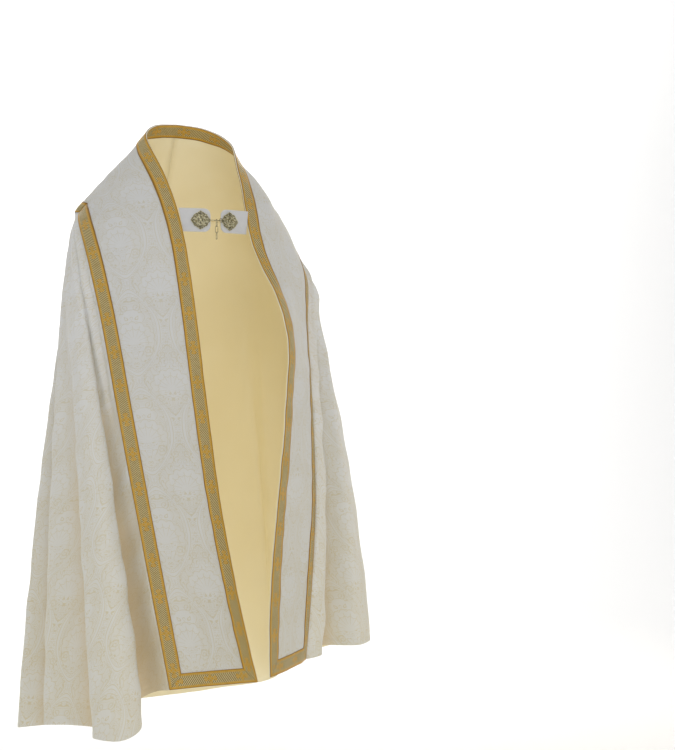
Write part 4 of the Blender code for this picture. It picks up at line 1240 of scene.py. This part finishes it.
for layer in range(2):
    share = spots / edge_run[-1]
    low = np.clip((np.sin(math.pi * share) - 0.45) / 0.5, 0.0, 1.0)
    size = (FRINGE_SIDE + (FRINGE_BOTTOM - FRINGE_SIDE) * low) * RNG.uniform(0.86, 1.04, len(spots))
    sway = RNG.normal(0.0, 0.16, len(spots))
    droop = (0.55 + 0.35 * RNG.uniform(0.0, 1.0, len(spots))) * (1.0 - low) + 0.12 * low
    shift = STRAND_STEP * 0.5 * layer
    paths = []
    for k in range(RINGS):
        t = k / (RINGS - 1)
        step = size * t
        x = flat_spots[:, 0] + along_dir[:, 0] * shift
        x = x + out_dir[:, 0] * (step * (1.0 - 0.45 * droop * t) - FRINGE_ROOT)
        y = flat_spots[:, 1] + out_dir[:, 1] * (step - FRINGE_ROOT) + droop * step * t * 0.9
        x = x + along_dir[:, 0] * sway * step * t * 0.5
        y = y + along_dir[:, 1] * sway * step * t * 0.5
        paths.append(on_back(x, np.maximum(y, 0.010)))
    paths = np.array(paths)
    stand = 0.0072 + 0.0024 * layer + 0.0012 * RNG.uniform(-1.0, 1.0, len(spots))
    face = np.cross(paths[:, 2:] - paths[:, :-2], (paths[1:2, 1:-1] - paths[0:1, 1:-1]))
    face = np.concatenate([face[:, :1], face, face[:, -1:]], axis=1)
    face = face.mean(axis=0)
    face /= np.maximum(np.linalg.norm(face, axis=1, keepdims=True), 1e-9)
    face[face[:, 1] < 0.0] *= -1.0
    for i in range(len(spots)):
        thick = [STRAND_THICK] * (RINGS - 1) + [STRAND_TIP]
        fringe.tube(paths[:, i] + face[i] * stand[i], thick, sides=5, twist=1.15, lobes=0.32)
dress(fringe.object("hood_fringe_cords", FRINGE), "fringe", "hood_fringe")


# ---------------------------------------------------------------- clasp
def frame_of(origin, along, up):
    """Origin and three axes: along the tab, up it, and out of its face."""
    along = along / np.linalg.norm(along)
    up = up - along * np.dot(up, along)
    up = up / np.linalg.norm(up)
    face = np.cross(along, up)
    if face[1] > 0.0:
        face = -face
    return np.asarray(origin, float), along, up, face


def place(where, x, y, out):
    """World point from a place on the tab's face."""
    origin, along, up, face = where
    return origin + along * x + up * y + face * out


def tab_outline(length, low_start, high_start, inset):
    """Tab seen on its face: slanted at the front's edge, round at the free end."""
    half = TAB_HALF_HEIGHT - inset
    corner = TAB_CORNER - inset
    out = [(low_start + inset, -half)]
    for centre_y, first in ((-TAB_HALF_HEIGHT + TAB_CORNER, -90.0), (TAB_HALF_HEIGHT - TAB_CORNER, 0.0)):
        for k in range(9):
            turn = math.radians(first + 11.25 * k)
            out.append((length - TAB_CORNER + corner * math.cos(turn), centre_y + corner * math.sin(turn)))
    out.append((high_start + inset, half))
    return out


def stacked(name, where, layers, material):
    """Closed body through outlines stacked from the back to the front."""
    count = len(layers[0][1])
    verts = []
    for out, outline in layers:
        verts += [tuple(place(where, x, y, out)) for x, y in outline]
    faces = []
    for k in range(len(layers) - 1):
        for i in range(count):
            j = (i + 1) % count
            faces.append((k * count + i, k * count + j, (k + 1) * count + j, (k + 1) * count + i))
    faces.append(tuple(range(count))[::-1])
    faces.append(tuple(range((len(layers) - 1) * count, len(layers) * count)))
    along, up, face = where[1:]
    if np.dot(np.cross(along, up), face) < 0.0:
        faces = [f[::-1] for f in faces]
    mesh = bpy.data.meshes.new(name)
    mesh.from_pydata(verts, [], faces)
    mesh.materials.append(material)
    mesh.update()
    return add(name, mesh)


def leaf_outline(scale, centre, count=72):
    """Scalloped leaf of the plate, pointed along the tab."""
    out = []
    for k in range(count):
        turn = 2.0 * math.pi * k / count
        c = math.cos(turn)
        s = math.sin(turn)
        size = (abs(c) ** 1.45 + abs(s) ** 1.45) ** (-1.0 / 1.45)
        size *= 1.0 + 0.035 * math.cos(8.0 * turn) + 0.012 * math.cos(24.0 * turn)
        out.append((centre + c * size * PLATE_LENGTH / 2.0 * scale, s * size * PLATE_HEIGHT / 2.0 * scale))
    return out


TAB_START = 0.0022        # the tab starts this far from the front's edge
TAB_BEHIND = 0.0050       # its free end lies this far behind the clasp's middle
PLATE_BACK = 0.0015       # from the tab's free end to the plate
RIM_WIRE = 0.00075        # radius of the raised rims of a plate
SCROLL_STEPS = 22
DOT_COUNT = 36            # raised dots round a plate
# the tab's thickness in layers: height over its middle, and how far in its outline lies
HALF_TAB = TAB_THICK / 2.0
TAB_LAYERS = (
    (-HALF_TAB, 0.0010),
    (-HALF_TAB * 0.5, 0.0001),
    (HALF_TAB * 0.4, 0.0),
    (HALF_TAB * 0.85, 0.0006),
    (HALF_TAB, 0.0016),
    (HALF_TAB, 0.0032),
    (HALF_TAB - 0.0004, 0.0038),
    (HALF_TAB - 0.0001, 0.0044),
    (HALF_TAB, 0.0060),
)
# scrolls of one quarter of a plate, in millimetres from its middle
SCROLLS = (
    # x, y, first radius, last radius, first angle, turns
    (9.5, 4.6, 4.4, 0.9, 200.0, 1.5),
    (5.0, 11.0, 4.2, 0.8, -40.0, -1.5),
    (15.2, 2.6, 2.6, 0.6, 150.0, -1.3),
    (10.6, 10.2, 2.3, 0.6, 20.0, 1.2),
    (2.6, 5.0, 2.1, 0.5, 90.0, -1.2),
)
for side, inner, sign, stop in (("right", INNER_RIGHT, -1.0, 0.0138), ("left", INNER_LEFT, 1.0, 0.0128)):
    edge_line = dense(inner)
    part = edge_line[edge_line[:, 2] < 0.0]
    marks = []
    for dz in (-TAB_HALF_HEIGHT, 0.0, TAB_HALF_HEIGHT):
        marks.append(np.array([np.interp(-(CLASP[2] + dz), -part[:, 2], part[:, k]) for k in range(3)]))
    free_end = np.array([CLASP[0] + sign * stop, CLASP[1] + TAB_BEHIND, CLASP[2]])
    tab = frame_of(marks[1], free_end - marks[1], np.array([0.0, 0.0, 1.0]))
    reach = float(np.linalg.norm(free_end - marks[1]))
    starts = [float(np.dot(m - marks[1], tab[1])) + TAB_START for m in (marks[0], marks[2])]
    layers = [(out, tab_outline(reach, starts[0], starts[1], inset)) for out, inset in TAB_LAYERS]
    piece = stacked("clasp_tab_" + side, tab, layers, PLAIN)
    dress(piece, "plain_cloth", "tab_" + side)
    middle = reach - PLATE_BACK - PLATE_LENGTH / 2.0
    low = HALF_TAB + LAYER_GAP
    build = Build()
    for scale, out in ((1.0, 0.0011), (0.55, 0.0019)):
        ring = leaf_outline(scale, middle)
        ring.append(ring[0])
        build.tube([place(tab, x, y, low + out) for x, y in ring], RIM_WIRE, sides=6)
    for x, y, big, small, first, turns in SCROLLS:
        for mx in (-1.0, 1.0):
            for my in (-1.0, 1.0):
                path = []
                for k in range(SCROLL_STEPS):
                    t = k / (SCROLL_STEPS - 1)
                    angle = math.radians(first + 360.0 * turns * t)
                    radius = big + (small - big) * t
                    path.append(place(tab, middle + mx * (x + radius * math.cos(angle)) * 0.001,
                                      my * (y + radius * math.sin(angle)) * 0.001,
                                      low + 0.0017 + 0.0006 * math.sin(math.pi * t)))
                build.tube(path, np.linspace(0.0008, 0.0006, SCROLL_STEPS), sides=6)
    for x, y in leaf_outline(0.86, middle, DOT_COUNT):
        dot = [place(tab, x, y, low + 0.0008 + 0.0014 * t) for t in (0.0, 0.6, 1.0)]
        build.tube(dot, [0.0010, 0.0009, 0.0003], sides=6)
    boss = [place(tab, middle, 0.0, low + 0.0008 + 0.0026 * t) for t in (0.0, 0.3, 0.6, 0.85, 1.0)]
    build.tube(boss, [0.0034, 0.0033, 0.0027, 0.0016, 0.0003], sides=14)
    base = stacked("plate_base_" + side, tab, [
        (low, leaf_outline(0.985, middle)),
        (low + 0.0007, leaf_outline(1.0, middle)),
        (low + 0.0011, leaf_outline(0.93, middle)),
        (low + 0.0013, leaf_outline(0.50, middle)),
    ], BRASS_GROUND)
    chased = build.object("clasp_plate_" + side, BRASS)
    dress(chased, "brass", "plate_" + side)
    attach(base, "root")

for node in ("hook", "eye", "link_1", "link_2", "link_3"):
    obj = bpy.data.objects[node] if node in bpy.data.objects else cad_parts[node]
    obj.data.materials.clear()
    obj.data.materials.append(BRASS_WIRE)

# ---------------------------------------------------------------- floor, light and camera
FLOOR_Z = -1.80           # lower than the feet, so that the shadow falls out of the picture
VIEW_TURN = math.radians(-22.0)


FLOOR_HALF = 9.0          # the floor reaches this far forward and to either side
WALL_FAR = 5.0
WALL_TOP = 7.5
CURVE = 2.6               # radius of the curve between the floor and the wall
CURVE_STEPS = 16


def backdrop():
    """Pale floor that curves up into a plain wall."""
    profile = [(-FLOOR_HALF, 0.0)]
    for k in range(CURVE_STEPS + 1):
        turn = math.radians(90.0 * k / CURVE_STEPS)
        profile.append((WALL_FAR - CURVE + CURVE * math.sin(turn), CURVE - CURVE * math.cos(turn)))
    profile.append((WALL_FAR, WALL_TOP))
    verts = []
    for x in (-FLOOR_HALF, FLOOR_HALF):
        verts += [(x, y, FLOOR_Z + z) for y, z in profile]
    count = len(profile)
    faces = [(k, k + count, k + 1 + count, k + 1) for k in range(count - 1)]
    mesh = bpy.data.meshes.new("studio_floor")
    mesh.from_pydata(verts, [], faces)
    mesh.polygons.foreach_set("use_smooth", np.ones(len(faces), bool))
    s = Shade("studio_paper", 0.9, specular=0.1)
    x, y, z = s.place()
    grain = s.noise(x, y, 40.0)
    colour = s.mix(grain, (0.96, 0.96, 0.96), (0.97, 0.97, 0.97))
    mesh.materials.append(s.finish(colour, grain, 0.0002, 0.2))
    obj = add("studio_floor", mesh)
    obj.rotation_euler[2] = VIEW_TURN


backdrop()


def lamp(name, position, target, size, power, colour):
    """Large soft box aimed at a point."""
    data = bpy.data.lights.new(name, "AREA")
    data.shape = "RECTANGLE"
    data.size, data.size_y = size
    data.energy = power
    data.color = colour
    obj = add(name, data)
    obj.location = position
    gap = np.array(target) - np.array(position)
    obj.rotation_euler[0] = math.acos(-gap[2] / np.linalg.norm(gap))
    obj.rotation_euler[2] = math.atan2(gap[0], -gap[1]) + math.pi


LAMPS = (
    # name, position, target, size, power in watts, colour
    ("key", (-1.6, -4.6, 2.4), (0.0, 0.0, -0.6), (2.0, 2.0), 50.0, (1.0, 0.99, 0.975)),
    ("side", (-4.2, -0.8, 1.0), (0.0, 0.0, -0.7), (1.4, 2.4), 15.0, (0.98, 0.99, 1.0)),
    ("fill", (0.6, -4.6, -0.7), (0.0, 0.0, -0.7), (1.8, 1.8), 17.0, (0.985, 0.99, 1.0)),
    ("left_sleeve", (3.0, -0.9, 0.2), (0.4, 0.0, -0.8), (1.2, 2.0), 10.0, (1.0, 0.87, 0.62)),
    ("back_right", (2.0, 2.2, 0.2), (0.3, 0.0, -0.8), (1.4, 2.0), 13.0, (1.0, 0.90, 0.72)),
    ("back_left", (-2.6, 2.4, 1.0), (0.0, 0.0, -0.6), (1.4, 2.0), 5.0, (1.0, 0.97, 0.92)),
    ("paper", (0.5, 2.5, 2.8), (1.2, 6.0, -0.6), (5.0, 2.0), 150.0, (1.0, 1.0, 1.0)),
)
for row in LAMPS:
    lamp(*row)
world = bpy.data.worlds.new("studio")
bpy.context.scene.world = world
world.use_nodes = True
sky = world.node_tree.nodes["Background"]
sky.inputs["Color"].default_value = (1.0, 0.995, 0.985, 1.0)
sky.inputs["Strength"].default_value = 0.47
bpy.context.scene.view_settings.view_transform = "Standard"

VIEW_FAR = 4.0            # camera to the cope, level
VIEW_HEIGHT = -0.645
SENSOR_MM = 36.0
LENS_MM = 76.32
AIM_RIGHT = math.radians(5.3000)  # turned past the cope, which stands left in the picture
AIM_UP = math.radians(0.9008)
camera_data = bpy.data.cameras.new("camera")
camera_data.sensor_width = SENSOR_MM
camera_data.lens = LENS_MM
camera_data.clip_end = 60.0
camera = add("camera", camera_data)
camera.location = (VIEW_FAR * math.sin(VIEW_TURN), -VIEW_FAR * math.cos(VIEW_TURN), VIEW_HEIGHT)
camera.rotation_euler = (math.radians(90.0) + AIM_UP, 0.0, VIEW_TURN - AIM_RIGHT)
bpy.context.scene.camera = camera

# ---------------------------------------------------------------- cut sizes of the cloth
BANDS = ("cope_band_right", "cope_band_left")
SHEETS = (
    # piece, cut width, cut length, cut area, how it is held, what it rests on
    ("cope_body_right", 1.454, 1.338, 1.158, "hung", ("cope_band_right",)),
    ("cope_body_left", 1.310, 1.283, 0.994, "hung", ("cope_band_left",)),
    ("cope_lining", 2.765, 1.338, 2.139, "hung", BANDS),
    ("cope_band_right", 0.259, 1.555, 0.357, "draped", ("cope_facing_right",)),
    ("cope_band_left", 0.280, 1.540, 0.358, "draped", ("cope_facing_left",)),
    ("cope_facing_right", 0.259, 1.555, 0.355, "draped", ("cope_band_right",)),
    ("cope_facing_left", 0.280, 1.540, 0.356, "draped", ("cope_band_left",)),
    ("trim_inner", GALLOON_WIDTH, 3.213, None, "laid", BANDS),
    ("trim_outer", GALLOON_WIDTH, 3.182, None, "laid", BANDS),
    ("trim_foot_right", GALLOON_WIDTH, 0.201, None, "laid", ("cope_band_right",)),
    ("trim_foot_left", GALLOON_WIDTH, 0.180, None, "laid", ("cope_band_left",)),
    ("trim_centre_back", GALLOON_WIDTH, 0.191, None, "laid", BANDS),
    ("trim_inside_neck", GALLOON_WIDTH, 0.877, None, "laid", BANDS),
    ("hood_cloth", 0.458, 0.53, 0.22, "hung", ("cope_body_right", "cope_body_left")),
    ("hood_trim", GALLOON_WIDTH, 1.304, None, "laid", ("hood_cloth",)),
    ("clasp_tab_right", 0.057, 0.078, 0.0043, "stretched", ("cope_band_right",)),
    ("clasp_tab_left", 0.057, 0.080, 0.0044, "stretched", ("cope_band_left",)),
)
for name, wide, long, area, held, rests in SHEETS:
    trimmed = [PIECES["hood_fringe_cords"]] if name == "hood_cloth" else []
